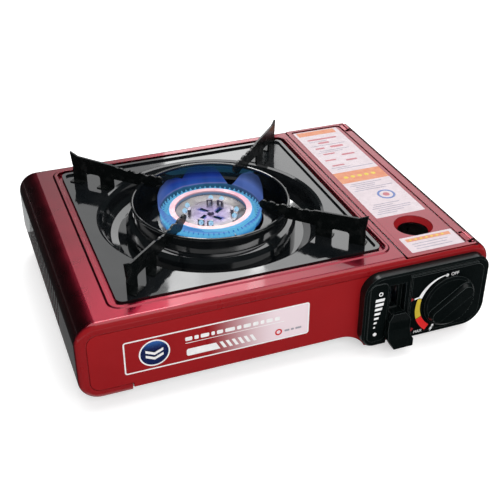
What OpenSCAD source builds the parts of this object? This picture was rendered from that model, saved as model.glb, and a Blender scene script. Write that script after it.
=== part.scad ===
// Butane cassette stove: a painted sheet-steel case with a lift-out drip pan and pan
// supports, a mushroom burner, and a side bay for one gas canister under a hinged lid.
// Drawn from the case's front left corner on the table, then centred by place().

/* [Case] */
// Width of the case
body_w = 345; // [330:1:420]
// Depth of the case
body_d = 256; // [245:1:320]
// Height of the case's sheet, without the feet
shell_h = 67.5; // [66:0.5:85]
// Height of the case's lower edge above the table
foot_h = 12.5; // [11:0.5:18]
// Sheet thickness of the case
sheet = 1; // [0.8:0.1:1.4]
// Corner radius of the case, seen from the front
corner_r = 17; // [12:1:20]
// Radius of the roll round the front and back edges
lip_r = 5; // [4:0.5:6]
// Width of the flat hem inside that roll
hem_w = 3; // [2:0.5:4]
// Width of the return flange under the left side
flange_w = 40; // [30:1:50]
// Height of the gas bay's floor above the table
bay_floor = 4; // [3.5:0.5:6]

/* [Drip pan] */
// Side of the square drip pan
pan_size = 218; // [214:1:222]
// Distance of the pan's centre from the left side
pan_cx = 147; // [146:1:160]
// Distance of the pan's centre from the front
pan_cy = 131; // [129:1:160]
// Pan's sheet thickness
pan_t = 1.2; // [1:0.1:1.5]
// Width of the raised band round the pan, from the pan's edge
band_w = 8; // [7:0.5:9]
// Height of that band
band_up = 0.8; // [0.6:0.1:1]
// Width of the flat between the pan's edge and its round well
well_margin = 11; // [9:1:14]
// Depth of the well's floor under the case's top
well_depth = 20; // [16:1:21]
// Radius of the hole that the burner stands in
pan_hole_r = 46; // [46:0.5:47]
// Radius of the wind ring
ring_r = 67.5; // [66:0.5:69]
// Height of the wind ring's rim above the case's top
ring_up = 11; // [9:0.5:12]

/* [Pan supports] */
// Thickness of a support arm's sheet
arm_t = 1.8; // [1.5:0.1:2.2]
// Distance of an arm's outer end from the pan's corner
corner_gap = 14.6; // [14:0.2:18]
// Radius of an arm's inner nose
arm_in = 46; // [44:0.5:50]
// Height of an arm's cooking edge above the case's top
arm_up = 21; // [19:0.5:24]

/* [Burner] */
// Radius of the burner head's top ring
head_r = 36.5; // [34:0.5:38]
// Height of the head's top ring above the case's top
head_up = 1; // [0:0.5:3]
// Number of flame ports round the head
port_count = 36; // [24:1:40]
// Height of the mixing tube's axis above the table
tube_z = 48; // [47:0.5:49]
// Outer radius of the mixing tube
tube_r = 9; // [8:0.5:9]

/* [Lid and hinge] */
// Width of the gas side, from the lid's left edge to the right side
gas_w = 78; // [74:1:90]
// Gap in front of and behind the lid
lid_gap = 0.4; // [0.3:0.1:0.8]
// Gap at the lid's left edge
lid_side_gap = 1.4; // [0.8:0.1:1.8]
// Distance of the hinge axis from the right side
hinge_in = 13.5; // [12:0.5:14]
// Depth of the hinge axis under the case's top
hinge_down = 2; // [1.8:0.1:2.4]
// Outer radius of a hinge knuckle
knuckle_r = 3.6; // [3.3:0.1:4]
// Length of a hinge knuckle
knuckle_l = 12; // [8:0.5:16]
// Radius of a hinge pin
pin_r = 1.3; // [1.1:0.1:1.5]
// Radius of the hole over the canister's neck
view_r = 12.8; // [10:0.2:14]

/* [Controls] */
// How far the control panel stands out of the front
panel_out = 9.5; // [8:0.5:11]
// Width of the control panel
panel_w = 113; // [110:1:116]
// Height of the knob's axis above the table
knob_z = 39.5; // [38:0.5:41]
// Distance of the knob's axis from the right side
knob_in = 42; // [41:0.5:44]
// Radius of the knob's skirt
knob_r = 23.5; // [20:0.5:24]
// How far the knob stands out of the panel
knob_out = 9.5; // [8:0.5:10]
// Angle of the grip bar from level, as left when lit
knob_turn = 36; // [0:1:90]
// Radius of the valve shaft
shaft_r = 4; // [3:0.1:4.5]
// Running clearance of shafts and pins
run_fit = 0.05; // [0.03:0.01:0.1]
// Reach of the lever's thumb tab in front of the case
lever_reach = 20; // [19:0.5:22]
// Travel of the lever from locked to released
lever_travel = 20; // [16:1:20]
// Travel of the canister slide that the lever drives
slide_travel = 7; // [5:0.5:8]

/* [Canister] */
// Radius of the gas canister that the bay takes
can_r = 33; // [32:0.5:34]

/* [Hidden] */
$fn = 64;

z_top = foot_h + shell_h;
z_in = z_top - sheet;
y_mid = (body_d - lever_reach) / 2;
end_y = lip_r + 0.2;
seat = 0.3;
eps = 0.01;
red = "#a8232d";
zinc = "#b8bcc0";
black = "#141516";
enamel = "#1c1d1f";

// top of the bottom plate, level with the lower edge of the front and back plates
floor_z = foot_h + 4.5;

// partition and gas bay
lid_x = body_w - gas_w;
bay_x = lid_x - 4;
tray_x1 = body_w - 4;
bay_side_z = foot_h + 35;
can_x = body_w - knob_in;
can_z = bay_floor + sheet + 1 + can_r;

// ledge that the drip pan sits on
ledge_gap = 4;
ledge_depth = 2.5;
ledge_w = 6;
ledge_z = z_top - ledge_depth;
pan_top = ledge_z + pan_t;
well_r = pan_size / 2 - well_margin;
trough_w = well_r - ring_r;
arm_out = pan_size / sqrt(2) - corner_gap;

// hinge
hinge_x = body_w - hinge_in;
hinge_z = z_top - hinge_down;
ear_t = 1.5;
ear_gap = 0.8;
ear_r = 2.6;
knuckle_y = 7.8;
hinge_len = knuckle_l + 2 * (ear_t + ear_gap);
hinge_cut = hinge_x + knuckle_r + 0.8;
lid_open_x1 = hinge_x + 2.5;
lid_x1 = hinge_x + 1.2;
lid_y0 = 2;
view_y = 46.5;
view_x = can_x - 4.5;

// controls
panel_x1 = body_w - 5;
panel_x0 = panel_x1 - panel_w;
panel_z0 = z_top - 72.5;
panel_z1 = z_top - 6;
channel_x = panel_x0 + 21.6;
channel_w = 14.3;
channel_z1 = panel_z1 - 9;
lever_x = channel_x + channel_w / 2;
stem_w = 6;
slot_w = 8;
stem_z = floor_z + 1;
stem_h = 22;
slot_z0 = stem_z - 1;
slot_z1 = stem_z + stem_h + lever_travel + 1;
knob_x = body_w - knob_in;
knob_y = -panel_out - knob_out;

// cam of the lock: a slanted slot in the lever drives the peg of the canister slide
peg_r = 2;
peg_gap = 0.4;
peg_y = 16;
peg_z = stem_z + 24.5;
cam_t = 3;
cam_x = lever_x - cam_t / 2;

// burner
bowl_z = tube_z - 10;
bowl_top = z_top - 14;
head_z = z_top + head_up;
bell_r = tube_r + 3.5;
bowl_r = head_r + 2.5;
head_in = head_r - 5.5;
spark_a = -80;
spark_r = bowl_r + 4;

// gas line: straight from the burner's axis to the side of the regulator
cast_r = 15;
cast_in_y = 20.8;
gas_x = bay_x + 3.8;
tube_a = atan((pan_cy - cast_in_y) / (knob_x - cast_r - pan_cx));
arm_from = (gas_x - pan_cx) / cos(tube_a);
arm_run = (knob_x - cast_r + 2 - gas_x) / cos(tube_a);
jet_hex = arm_from - 9;
jet_from = arm_from - 15;
bell_end = arm_from - 19;
tube_end = arm_from - 30;

module place() translate([-body_w / 2, -y_mid, 0]) children();

// extrudes a shape drawn in width and height along the depth, from y0 for d
module deep(y0, d) translate([0, y0 + d, 0]) rotate([90, 0, 0]) linear_extrude(d) children();

// rectangle from (x0, y0) to (x1, y1) with its own radius at each corner:
// lower left, lower right, upper right, upper left
module rounded(x0, y0, x1, y1, r) {
    polygon([[x0 + r[0], y0], [x1 - r[1], y0], [x1, y0 + r[1]], [x1, y1 - r[2]],
             [x1 - r[2], y1], [x0 + r[3], y1], [x0, y1 - r[3]], [x0, y0 + r[0]]]);
    translate([x0 + r[0], y0 + r[0]]) circle(max(r[0], eps));
    translate([x1 - r[1], y0 + r[1]]) circle(max(r[1], eps));
    translate([x1 - r[2], y1 - r[2]]) circle(max(r[2], eps));
    translate([x0 + r[3], y1 - r[3]]) circle(max(r[3], eps));
}

module even(x0, y0, x1, y1, r) rounded(x0, y0, x1, y1, [r, r, r, r]);

// square plate centred on the drip pan
module pan_square(side, r, z0, z1)
    translate([0, 0, z0]) linear_extrude(z1 - z0)
        even(pan_cx - side / 2, pan_cy - side / 2, pan_cx + side / 2, pan_cy + side / 2, r);

// raised band round the pan: a plate with a sloping edge, its foot at height z
band_edge = 1.4;
band_r = 11;
band_x = [pan_cx - pan_size / 2 - band_w, pan_cx + pan_size / 2 + ledge_gap + 3];
band_y = [pan_cy - pan_size / 2 - band_w, pan_cy + pan_size / 2 + ledge_gap + 3];

module band_side(a, z) polygon([[a[0], z], [a[1], z], [a[1] - band_edge, z + band_up],
                                [a[0] + band_edge, z + band_up]]);

module pan_band(z) {
    deep(band_y[0] + band_r, band_y[1] - band_y[0] - 2 * band_r) band_side(band_x, z);
    translate([band_x[0] + band_r, 0, 0]) rotate([90, 0, 90])
        linear_extrude(band_x[1] - band_x[0] - 2 * band_r) band_side(band_y, z);
    for (x = [band_x[0] + band_r, band_x[1] - band_r], y = [band_y[0] + band_r, band_y[1] - band_r])
        translate([x, y, z]) cylinder(r1 = band_r, r2 = band_r - band_edge, h = band_up);
}

// case outline seen from the front, set in from the outer face
module case_outline(inset)
    even(inset, foot_h + inset, body_w - inset, z_top - inset, corner_r - inset);

// section of the rolled edge: a quarter round, then a flat hem
module lip_section() {
    intersection() {
        translate([-lip_r, lip_r]) difference() {
            circle(lip_r);
            circle(lip_r - sheet);
        }
        translate([-lip_r, 0]) square(lip_r);
    }
    translate([-lip_r - hem_w, 0]) square([hem_w + eps, sheet]);
}

// the rolled edge round a case of width w and height h, open side towards +y
module lip_frame(w, h, r) {
    for (k = [0:3]) rotate([0, -90 * k, 0]) {
        run = (k % 2 == 0 ? w : h) - 2 * r;
        off = (k % 2 == 0 ? h : w) / 2 - r;
        translate([run / 2, 0, off]) rotate([0, -90, 0])
            linear_extrude(run) translate([r, 0]) lip_section();
        translate([-run / 2, 0, off]) rotate([-90, 0, 0]) rotate([0, 0, 180])
            rotate_extrude(angle = 90) translate([r, 0]) lip_section();
    }
}

module front_lip()
    translate([body_w / 2, 0, foot_h + shell_h / 2]) lip_frame(body_w, shell_h, corner_r);

// ---------------------------------------------------------------- case

louvre_n = 16;
louvre_pitch = 8.6;
louvre_lean = 20;
louvre_y = 76;
louvre_z = foot_h + corner_r;
louvre_h = shell_h - 2 * corner_r;

// slots that lean with their tops towards the front
module louvres()
    for (i = [0:louvre_n - 1]) translate([-1, louvre_y + i * louvre_pitch, louvre_z])
        rotate([louvre_lean, 0, 0]) cube([sheet + 2, 3, louvre_h / cos(louvre_lean)]);

module hinge_places() {
    translate([0, knuckle_y, 0]) children();
    translate([0, body_d - knuckle_y - knuckle_l, 0]) children();
}

module body_shell() color(red) place() difference() {
    union() {
        difference() {
            union() {
                deep(lip_r, body_d - 2 * lip_r) difference() {
                    case_outline(0);
                    case_outline(sheet);
                }
                front_lip();
                translate([0, body_d, 0]) mirror([0, 1, 0]) front_lip();
                pan_band(z_top);
            }
            pan_band(z_in);
        }
        pan_square(pan_size + 2 * ledge_gap + 2 * sheet, 9, ledge_z - sheet, z_in + band_up + eps);
    }
    pan_square(pan_size + 2 * ledge_gap, 8, ledge_z, z_top + 2);
    pan_square(pan_size - 2 * ledge_w, 10, ledge_z - 2 * sheet, z_top + 2);
    // opening under the lid, with room for the hinges
    translate([lid_x, lid_y0, z_top - 4])
        cube([lid_open_x1 - lid_x, body_d - 2 * lid_y0, 5]);
    hinge_places() translate([hinge_x - 5, -ear_t - ear_gap - 0.6, z_top - 14])
        cube([hinge_cut - hinge_x + 5, hinge_len + 1.2, 15]);
    // the underside is open between the flanges
    translate([flange_w, -1, foot_h - 1])
        cube([body_w - corner_r - flange_w + eps, body_d + 2, lip_r + hem_w + 2]);
    translate([body_w - corner_r - eps, -1, foot_h - 1])
        cube([corner_r - 4 + seat, body_d + 2, corner_r + 1]);
    louvres();
}

field_in = lip_r + hem_w + 0.6;
ring_in = lip_r + 0.2;
dip_x = panel_x0 - 15;
dip_r = 25;
dip_z = bay_floor - 1;
dip_corner = 6;

// lower edge of the front and back plates: level, then curved down to the gas bay
module skirt(x0, x1) difference() {
    union() {
        translate([x0, dip_z]) square([x1 - x0 - dip_corner, floor_z + 12 - dip_z]);
        translate([x1 - dip_corner - eps, dip_z + dip_corner])
            square([dip_corner + eps, floor_z + 12 - dip_z - dip_corner]);
        translate([x1 - dip_corner, dip_z + dip_corner]) circle(dip_corner);
    }
    translate([dip_x, floor_z - dip_r]) circle(dip_r);
    translate([x0 - 1, -dip_r]) square([dip_x - x0 + 1, floor_z + dip_r]);
}

// pressed end plate: a field standing forward of the rim that lies behind the hem
module end_plate(x_right) {
    deep(sheet, sheet) difference() {
        case_outline(ring_in);
        case_outline(field_in + 2);
        translate([flange_w, foot_h - 1]) square([body_w, lip_r + hem_w + 4.6]);
        translate([x_right, foot_h - 1]) square([body_w, corner_r + 4]);
    }
    difference() {
        union() {
            deep(0, sheet) difference() {
                case_outline(field_in);
                translate([x_right, foot_h - 1]) square([body_w, corner_r + 4]);
            }
            deep(0, sheet) skirt(flange_w + 1, x_right);
            // return flange that the bottom plate is fixed to
            translate([flange_w + 1, sheet - eps, floor_z]) cube([dip_x - flange_w - 4, 9, sheet]);
        }
        // clear of the hem in the lower left corner
        translate([-1, -1, foot_h - 1]) cube([flange_w + 1.6, 2 + eps, lip_r + hem_w + 1.2]);
    }
}

valve_hole_r = 12;
screw_r = 1.5;
screw_at = [[panel_x0 + 12, panel_z1 - 9], [panel_x1 - 12, panel_z1 - 9],
            [panel_x1 - 14, panel_z0 + 12], [panel_x0 + 12, panel_z0 + 16]];

module front_panel() color(red) place() difference() {
    end_plate(panel_x1 - 8);
    translate([knob_x, -1, knob_z]) rotate([-90, 0, 0]) cylinder(r = valve_hole_r, h = 4);
    translate([lever_x - slot_w / 2 - 1, -1, slot_z0]) cube([slot_w + 2, 4, slot_z1 - slot_z0]);
    for (p = screw_at) translate([p[0], -1, p[1]]) rotate([-90, 0, 0])
        cylinder(r = screw_r + run_fit, h = 4);
}

module back_panel() color(red) place() difference() {
    translate([0, body_d, 0]) mirror([0, 1, 0]) end_plate(tray_x1 - 2);
    for (i = [0:11]) translate([60 + i * 12, body_d - 3, foot_h + 22])
        cube([5, 4, 20]);
}

vent_n = 12;

module bottom_plate() color(zinc) place() difference() {
    union() {
        translate([flange_w + 1, end_y, floor_z - sheet])
            cube([bay_x - flange_w - 1, body_d - 2 * end_y, sheet]);
        // joggle down on to the case's return flange
        translate([flange_w + 1, end_y, foot_h + sheet])
            cube([sheet, body_d - 2 * end_y, floor_z - foot_h - sheet]);
        translate([corner_r + 0.5, end_y, foot_h + sheet])
            cube([flange_w + 1.5 - corner_r, body_d - 2 * end_y, sheet]);
    }
    for (i = [0:vent_n - 1]) translate([pan_cx, pan_cy, floor_z - 2]) rotate([0, 0, i * 360 / vent_n])
        translate([52, -3, 0]) cube([26, 6, 4]);
}

// the line from the burner towards the gas jet, as a local x axis
module tube_line() translate([pan_cx, pan_cy, tube_z]) rotate([0, 0, -tube_a]) children();

module jet_window() translate([bay_x - 6, pan_cy - (bay_x - pan_cx) * tan(tube_a), tube_z])
    rotate([0, 90, 0]) cylinder(r = 9.5, h = 14);

module peg_window() translate([bay_x - 4, peg_y - peg_r - 1.5, peg_z - peg_r - 1])
    cube([8, slide_travel + 2 * peg_r + 3, 2 * peg_r + 2]);

wire_hole = [bay_x, 64.5, floor_z + 3.4];

module partition() color(zinc) place() difference() {
    union() {
        translate([bay_x - sheet, end_y + 0.6, floor_z])
            cube([sheet, body_d - 2 * end_y - 1.2, z_in - floor_z - 1.3]);
        translate([bay_x - 9, end_y + 40, floor_z])
            cube([8 + eps, body_d - 2 * end_y - 60, sheet]);
        translate([bay_x - sheet, end_y + 5, z_in - sheet - seat])
            cube([8.5, body_d - 2 * end_y - 10, sheet]);
    }
    jet_window();
    peg_window();
    translate(wire_hole - [4, 0, 0]) rotate([0, 90, 0]) cylinder(r = 3, h = 8);
    for (i = [0:7]) translate([bay_x - 3, 90 + i * 18, z_in - 18]) cube([6, 10, 5]);
}

module gas_tray() color(zinc) place() difference() {
    union() {
        deep(2 * sheet + seat, body_d - 4 * sheet - 2 * seat) difference() {
            rounded(bay_x, bay_floor, tray_x1, bay_side_z, [3, 10, 0, 0]);
            rounded(bay_x + sheet, bay_floor + sheet, tray_x1 - sheet, bay_side_z + 1, [2, 9, 0, 0]);
        }
        translate([tray_x1 - sheet, end_y + 4, bay_side_z - sheet])
            cube([body_w - sheet - tray_x1 + sheet, body_d - 2 * end_y - 8, sheet]);
    }
    jet_window();
    peg_window();
    translate(wire_hole - [4, 0, 0]) rotate([0, 90, 0]) cylinder(r = 3, h = 8);
    for (i = [0:9]) translate([can_x - 10, 70 + i * 17, bay_floor - 1]) cube([20, 6, 4]);
}

foot_r = 9;

module left_feet() color(black) place()
    for (y = [30, body_d - 30]) translate([28, y, 0]) {
        cylinder(r1 = foot_r - 1, r2 = foot_r, h = 4);
        translate([0, 0, 4 - eps]) cylinder(r = foot_r, h = foot_h - 4 + eps);
    }

module right_feet() color(black) place()
    for (y = [36, body_d - 36]) translate([can_x + 18, y, 0])
        cylinder(r1 = foot_r - 1, r2 = foot_r, h = bay_floor);

// ---------------------------------------------------------------- drip pan and supports

// lower, middle and upper levels of the well, from its edge in to the burner hole
well_floor = z_top - well_depth;
hole_lip = z_top - 9;
well_line = [[well_r + 0.5, pan_top], [well_r - trough_w * 0.07, pan_top - 1.2],
             [well_r - trough_w * 0.15, pan_top - 4.5], [well_r - trough_w * 0.23, well_floor + 6],
             [well_r - trough_w * 0.36, well_floor + 1.8], [well_r - trough_w * 0.56, well_floor],
             [ring_r + trough_w * 0.1, well_floor], [ring_r - 6, well_floor + 1.5],
             [ring_r - 11, hole_lip - 3],
             [pan_hole_r + 7, hole_lip - 0.6], [pan_hole_r, hole_lip]];

// the sheet's underside stands outside the outer wall and inside the inner one
well_shift = [0, 0.35, 0.35, 0.35, 0.35, 0, 0, -0.3, -0.3, -0.3, 0];

module well_section(drop) polygon(concat(well_line,
    [for (i = [len(well_line) - 1:-1:0]) [well_line[i][0] + drop * well_shift[i],
                                          well_line[i][1] - drop]]));

rim_w = 3;
rim_h = 1.8;

module drip_pan() color(enamel) place() {
    difference() {
        union() {
            pan_square(pan_size, 6, ledge_z, pan_top);
            difference() {
                pan_square(pan_size, 6, ledge_z, pan_top + rim_h);
                pan_square(pan_size - 2 * rim_w, 4, ledge_z - 1, pan_top + rim_h + 1);
            }
        }
        translate([pan_cx, pan_cy, ledge_z - 1]) cylinder(r = well_r, h = pan_t + 2);
    }
    translate([pan_cx, pan_cy, 0]) rotate_extrude() well_section(pan_t);
}

ring_t = 1.2;
step_z = z_top - 4;
step_w = trough_w * 0.2;
step_r = ring_r + step_w;
rim_bead = 1.4;
rim_z = z_top + ring_up - rim_bead;

// section of the ring: a rolled rim, an upright wall, a round shoulder and a foot
ring_section = concat(
    [for (a = [-65:20:245]) [ring_r - ring_t / 2 + rim_bead * cos(a), rim_z + rim_bead * sin(a)]],
    [[ring_r - ring_t, rim_z - 1.3], [ring_r - ring_t, step_z - ring_t],
     [ring_r + step_w * 0.6 - 0.7, step_z - step_w * 0.25 - ring_t],
     [step_r - ring_t, step_z - step_w * 0.9 - 0.5], [step_r - ring_t, well_floor],
     [step_r, well_floor], [step_r, step_z - step_w * 0.9],
     [ring_r + step_w * 0.6, step_z - step_w * 0.25], [ring_r, step_z], [ring_r, rim_z - 1.3]]);

module wind_ring() color(enamel) place() translate([pan_cx, pan_cy, 0])
    rotate_extrude() polygon(ring_section);

arm_base = pan_top - z_top;
leg_in = well_r - 1;
leg_mid = well_r + 13;
win_out = arm_out - 13.5;
arm_low = 8;
crest_n = 4;

// a support arm in side view: x is the distance from the burner's axis, y is the
// height over the case's top
module arm_outline() difference() {
    union() {
        polygon([[arm_in + 4, 12.5], [arm_in + 3, arm_up - 6], [arm_in + 8, arm_up - 2.5],
                 [leg_in - 7, arm_up - 1.5], [leg_in - 1, arm_up + 0.4], [arm_out - 6, arm_up + 2],
                 [arm_out + 1.5, arm_up + 5.5], [arm_out, arm_low + 6], [arm_out, arm_base],
                 [leg_in, arm_base], [leg_in, arm_low], [ring_r + 4, arm_low],
                 [ring_r - 6, arm_low + 1.5]]);
        translate([arm_in + 4, arm_up - 4.6]) circle(4);
        for (i = [0:crest_n - 1]) translate([arm_in + 11 + i * 10.5, arm_up - 6.6]) circle(6);
    }
    // window between the legs, and the space under the arm's root
    even(leg_mid, arm_base - 6, win_out, arm_low, 2.5);
    // hollow of the outer edge under the horn
    translate([arm_out + 8.6, arm_low + 4]) circle(9);
    // slot that straddles the wind ring
    translate([ring_r - ring_t / 2 - rim_bead - 0.5, arm_low - 6])
        square([2 * rim_bead + 1, ring_up - arm_low + 6.3]);
}

tab_w = 6;

module support_arm(a) color(black) place()
    translate([pan_cx, pan_cy, z_top]) rotate([0, 0, a]) {
        translate([0, arm_t / 2, 0]) rotate([90, 0, 0]) linear_extrude(arm_t) arm_outline();
        for (x = [[leg_in + 1, leg_mid], [win_out, arm_out]])
            translate([x[0], arm_t / 2 - eps, arm_base]) cube([x[1] - x[0], tab_w, 1]);
    }

// ---------------------------------------------------------------- burner

head_foot = bowl_top;

module burner_body() color(zinc) place() difference() {
    union() {
        translate([pan_cx, pan_cy, 0]) rotate_extrude() polygon([
            [0, bowl_z], [20, bowl_z], [29, bowl_z + 5], [bowl_r - 3, bowl_z + 17],
            [bowl_r, bowl_top - 5], [bowl_r, bowl_top], [0, bowl_top]]);
        tube_line() rotate([0, 90, 0]) cylinder(r = tube_r, h = tube_end);
        tube_line() translate([tube_end, 0, 0]) rotate([0, 90, 0])
            cylinder(r1 = tube_r, r2 = bell_r, h = bell_end - tube_end);
    }
    translate([pan_cx, pan_cy, 0]) rotate_extrude() polygon([
        [0, bowl_z + 2.5], [19, bowl_z + 2.5], [27, bowl_z + 7], [bowl_r - 5.5, bowl_z + 18],
        [bowl_r - 3, bowl_top - 4], [bowl_r - 3, bowl_top + 1], [0, bowl_top + 1]]);
    tube_line() rotate([0, 90, 0]) cylinder(r = tube_r - 1.5, h = tube_end);
    tube_line() translate([tube_end - eps, 0, 0]) rotate([0, 90, 0])
        cylinder(r1 = tube_r - 1.5, r2 = bell_r - 1.5, h = bell_end - tube_end + 2 * eps);
}

skirt_out = bowl_r + 0.5;

module burner_head() color(zinc) place() translate([pan_cx, pan_cy, 0]) difference() {
    rotate_extrude() polygon([
        [skirt_out, head_foot], [skirt_out, head_foot + 5], [head_r + 0.6, head_z - 1.5],
        [head_r - 0.6, head_z], [head_in, head_z], [head_in, head_z - 3.5],
        [head_r - 3, head_z - 3.5], [skirt_out - 3, head_foot + 4], [skirt_out - 3, head_foot]]);
    for (i = [0:port_count - 1]) rotate([0, 0, i * 360 / port_count])
        translate([head_r - 4.5, -0.6, head_foot + 6]) cube([8, 1.2, 5]);
}

dish_z = head_z - 6;
blade_n = 4;
bridge_at = [155, 75, 45, -14, -135, -110];

module burner_dish() color("#8d8a90") place() translate([pan_cx, pan_cy, 0]) {
    difference() {
        union() {
            rotate_extrude() polygon([
                [0, dish_z - 1], [head_in - 7, dish_z - 1], [head_in - 0.4, head_z - 4.6],
                [head_r - 3.4, head_z - 4.6], [head_r - 3.4, head_z - 3.5 - 0.1],
                [head_in - 1, head_z - 3.6], [head_in - 7.5, dish_z], [0, dish_z]]);
            translate([0, 0, dish_z - eps]) cylinder(r1 = 3.2, r2 = 1.6, h = 2.4);
        }
        for (i = [0:blade_n - 1]) rotate([0, 0, i * 90 + 20])
            translate([8.5, 0, dish_z - 3]) rotate([0, 0, 18]) translate([-4, -1.6, 0])
                cube([8.5, 3.2, 6]);
    }
    // little bridges that lift burning gas off the dish
    for (a = bridge_at) rotate([0, 0, a]) translate([18.5, 0, dish_z - eps]) {
        translate([-1.2, -2.6, 0]) cube([2.4, 1.2, 3.4]);
        translate([-1.2, 1.4, 0]) cube([2.4, 1.2, 3.4]);
        translate([-1.2, -2.6, 3.4 - eps]) cube([2.4, 5.2, 1.1]);
    }
}

module burner_bracket() color(zinc) place() translate([pan_cx, pan_cy, 0]) {
    translate([-28, -9, bowl_z - 1.5]) cube([56, 18, 1.5]);
    for (s = [-1, 1]) {
        translate([s * 27.25 - 0.75, -9, floor_z])
            cube([1.5, 18, bowl_z - floor_z - 1]);
        translate([s * 31 - 4, -9, floor_z]) cube([8, 18, 1.5]);
    }
    // arm that carries the spark electrode
    translate([spark_r * cos(spark_a) - 5, spark_r * sin(spark_a) - 5, bowl_z - 1.5]) difference() {
        cube([10, spark_r * sin(-spark_a) - 3, 1.5]);
        translate([5, 5, -1]) cylinder(r = 2, h = 4);
    }
}

module at_spark() translate([pan_cx + spark_r * cos(spark_a), pan_cy + spark_r * sin(spark_a), 0])
    children();

module igniter_ceramic() color("#ece7dc") place() at_spark() difference() {
    union() {
        translate([0, 0, bowl_z]) cylinder(r = 2.5, h = head_z - 12 - bowl_z);
        translate([0, 0, bowl_z]) cylinder(r = 4, h = 5);
        translate([0, 0, bowl_z - 5]) cylinder(r = 1.95, h = 5 + eps);
    }
    translate([0, 0, bowl_z - 6]) cylinder(r = 0.82, h = 60);
}

module igniter_tip() color("#9a9ca0") place() at_spark() {
    translate([0, 0, bowl_z - 8]) cylinder(r = 0.8, h = head_z - 4 - bowl_z + 8);
    rotate([0, 0, spark_a]) translate([-2.6, -0.6, head_z - 5.2]) cube([2.6, 1.2, 1.2]);
}

// ---------------------------------------------------------------- gas train

cast_z = (knob_z + can_z) / 2;
cast_y0 = sheet + 1.5;
cast_y1 = 38;
screw_off = 17.8;
inlet_y = 45;

module along_y(x, y0, z, r, h) translate([x, y0, z]) rotate([-90, 0, 0]) cylinder(r = r, h = h);

module regulator_body() color(zinc) place() difference() {
    union() {
        along_y(knob_x, cast_y0 + 5, cast_z, cast_r, cast_y1 - cast_y0 - 5);
        along_y(knob_x, cast_y0, knob_z, 11, 6);
        translate([knob_x - screw_off - 3.4, cast_y0, knob_z - 6]) cube([2 * screw_off + 6.8, 4, 12]);
        along_y(can_x, cast_y1 - 1, can_z, 8, inlet_y - cast_y1 + 1);
        tube_line() translate([arm_from, 0, 0]) rotate([0, 90, 0]) cylinder(r = 5, h = arm_run);
    }
    along_y(knob_x, cast_y0 - 1, knob_z, shaft_r + run_fit, 13);
    along_y(can_x, inlet_y - 11, can_z, 2.6, 12);
    along_y(can_x, inlet_y - 3, can_z, 5.5, 4);
    for (s = [-1, 1]) along_y(knob_x + s * screw_off, cast_y0 - 1, knob_z, screw_r + run_fit, 6);
    tube_line() translate([arm_from - 1, 0, 0]) rotate([0, 90, 0]) cylinder(r = 2, h = 12);
}

cover_r = 9.5;

module regulator_cover() color("#c9b26a") place() translate([knob_x, 22, cast_z + cast_r - 2]) {
    difference() {
        union() {
            cylinder(r = cover_r, h = 5);
            translate([0, 0, 5 - eps]) cylinder(r1 = cover_r, r2 = cover_r - 3, h = 2.5);
            translate([0, 0, 7.5 - 2 * eps]) cylinder(r = 3.5, h = 1.5);
        }
        translate([0, 0, -cast_r + 2]) rotate([90, 0, 0]) cylinder(r = cast_r + 0.05, h = 60, center = true);
    }
}

module regulator_bracket() color(zinc) place() difference() {
    deep(sheet, 1.5) even(knob_x - 27, knob_z - 12.5, knob_x + 27, knob_z + 20, 4);
    along_y(knob_x, 0, knob_z, shaft_r + 2, 4);
    for (s = [-1, 1]) along_y(knob_x + s * screw_off, 0, knob_z, screw_r + run_fit, 4);
}

module gas_jet() color("#c9a24a") place() difference() {
    union() {
        tube_line() translate([jet_hex, 0, 0]) rotate([0, 90, 0])
            cylinder(r = 4.4, h = arm_from - jet_hex, $fn = 6);
        tube_line() translate([jet_from, 0, 0]) rotate([0, 90, 0])
            cylinder(r1 = 1.6, r2 = 2.6, h = jet_hex - jet_from + eps);
    }
    tube_line() translate([jet_from - 1, 0, 0]) rotate([0, 90, 0]) cylinder(r = 0.5, h = 20);
}

module inlet_seal() color(black) place() difference() {
    along_y(can_x, inlet_y - 3, can_z, 5.4, 2.4);
    along_y(can_x, inlet_y - 4, can_z, 2.2, 5);
}

piezo_x = knob_x + 21;

module piezo_igniter() color("#1d1d20") place() {
    translate([piezo_x, cast_y0 + 5, cast_z - 4]) cube([10, 24, 11]);
    along_y(piezo_x + 5, cast_y0 + 29 - eps, cast_z + 1.5, 3, 4);
    along_y(piezo_x + 5, cast_y0, cast_z + 1.5, 3, 5 + eps);
    translate([knob_x + cast_r + 0.1, cast_y0 + 12, cast_z - 3])
        cube([piezo_x - knob_x - cast_r, 10, 5]);
}

// ignition lead: from the piezo's end, behind the regulator and through the partition
wire_r = 1.1;
wire_at = [[piezo_x + 5, 36.7, cast_z + 1.5], [piezo_x + 3, 40.5, cast_z - 4],
           [knob_x + 15, 42.5, 21], [knob_x - 2, 43, 14], [knob_x - 18, 45, 13.5],
           [knob_x - 27, 52, 13.6], [knob_x - 34, 58.5, 15.6], [bay_x + 1, 64, floor_z + 2.9],
           [bay_x - 7, 68, floor_z + 3.6], [bay_x - 22, 75, floor_z + 3.6], [220, 80, floor_z + 3],
           [190, 80, floor_z + 2.6], [168, 80, floor_z + 3], [158, 83, floor_z + 4],
           [pan_cx + spark_r * cos(spark_a) + 1, pan_cy + spark_r * sin(spark_a) - 1, bowl_z - 12],
           [pan_cx + spark_r * cos(spark_a), pan_cy + spark_r * sin(spark_a), bowl_z - 8.6]];
wire_steps = 3;

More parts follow.
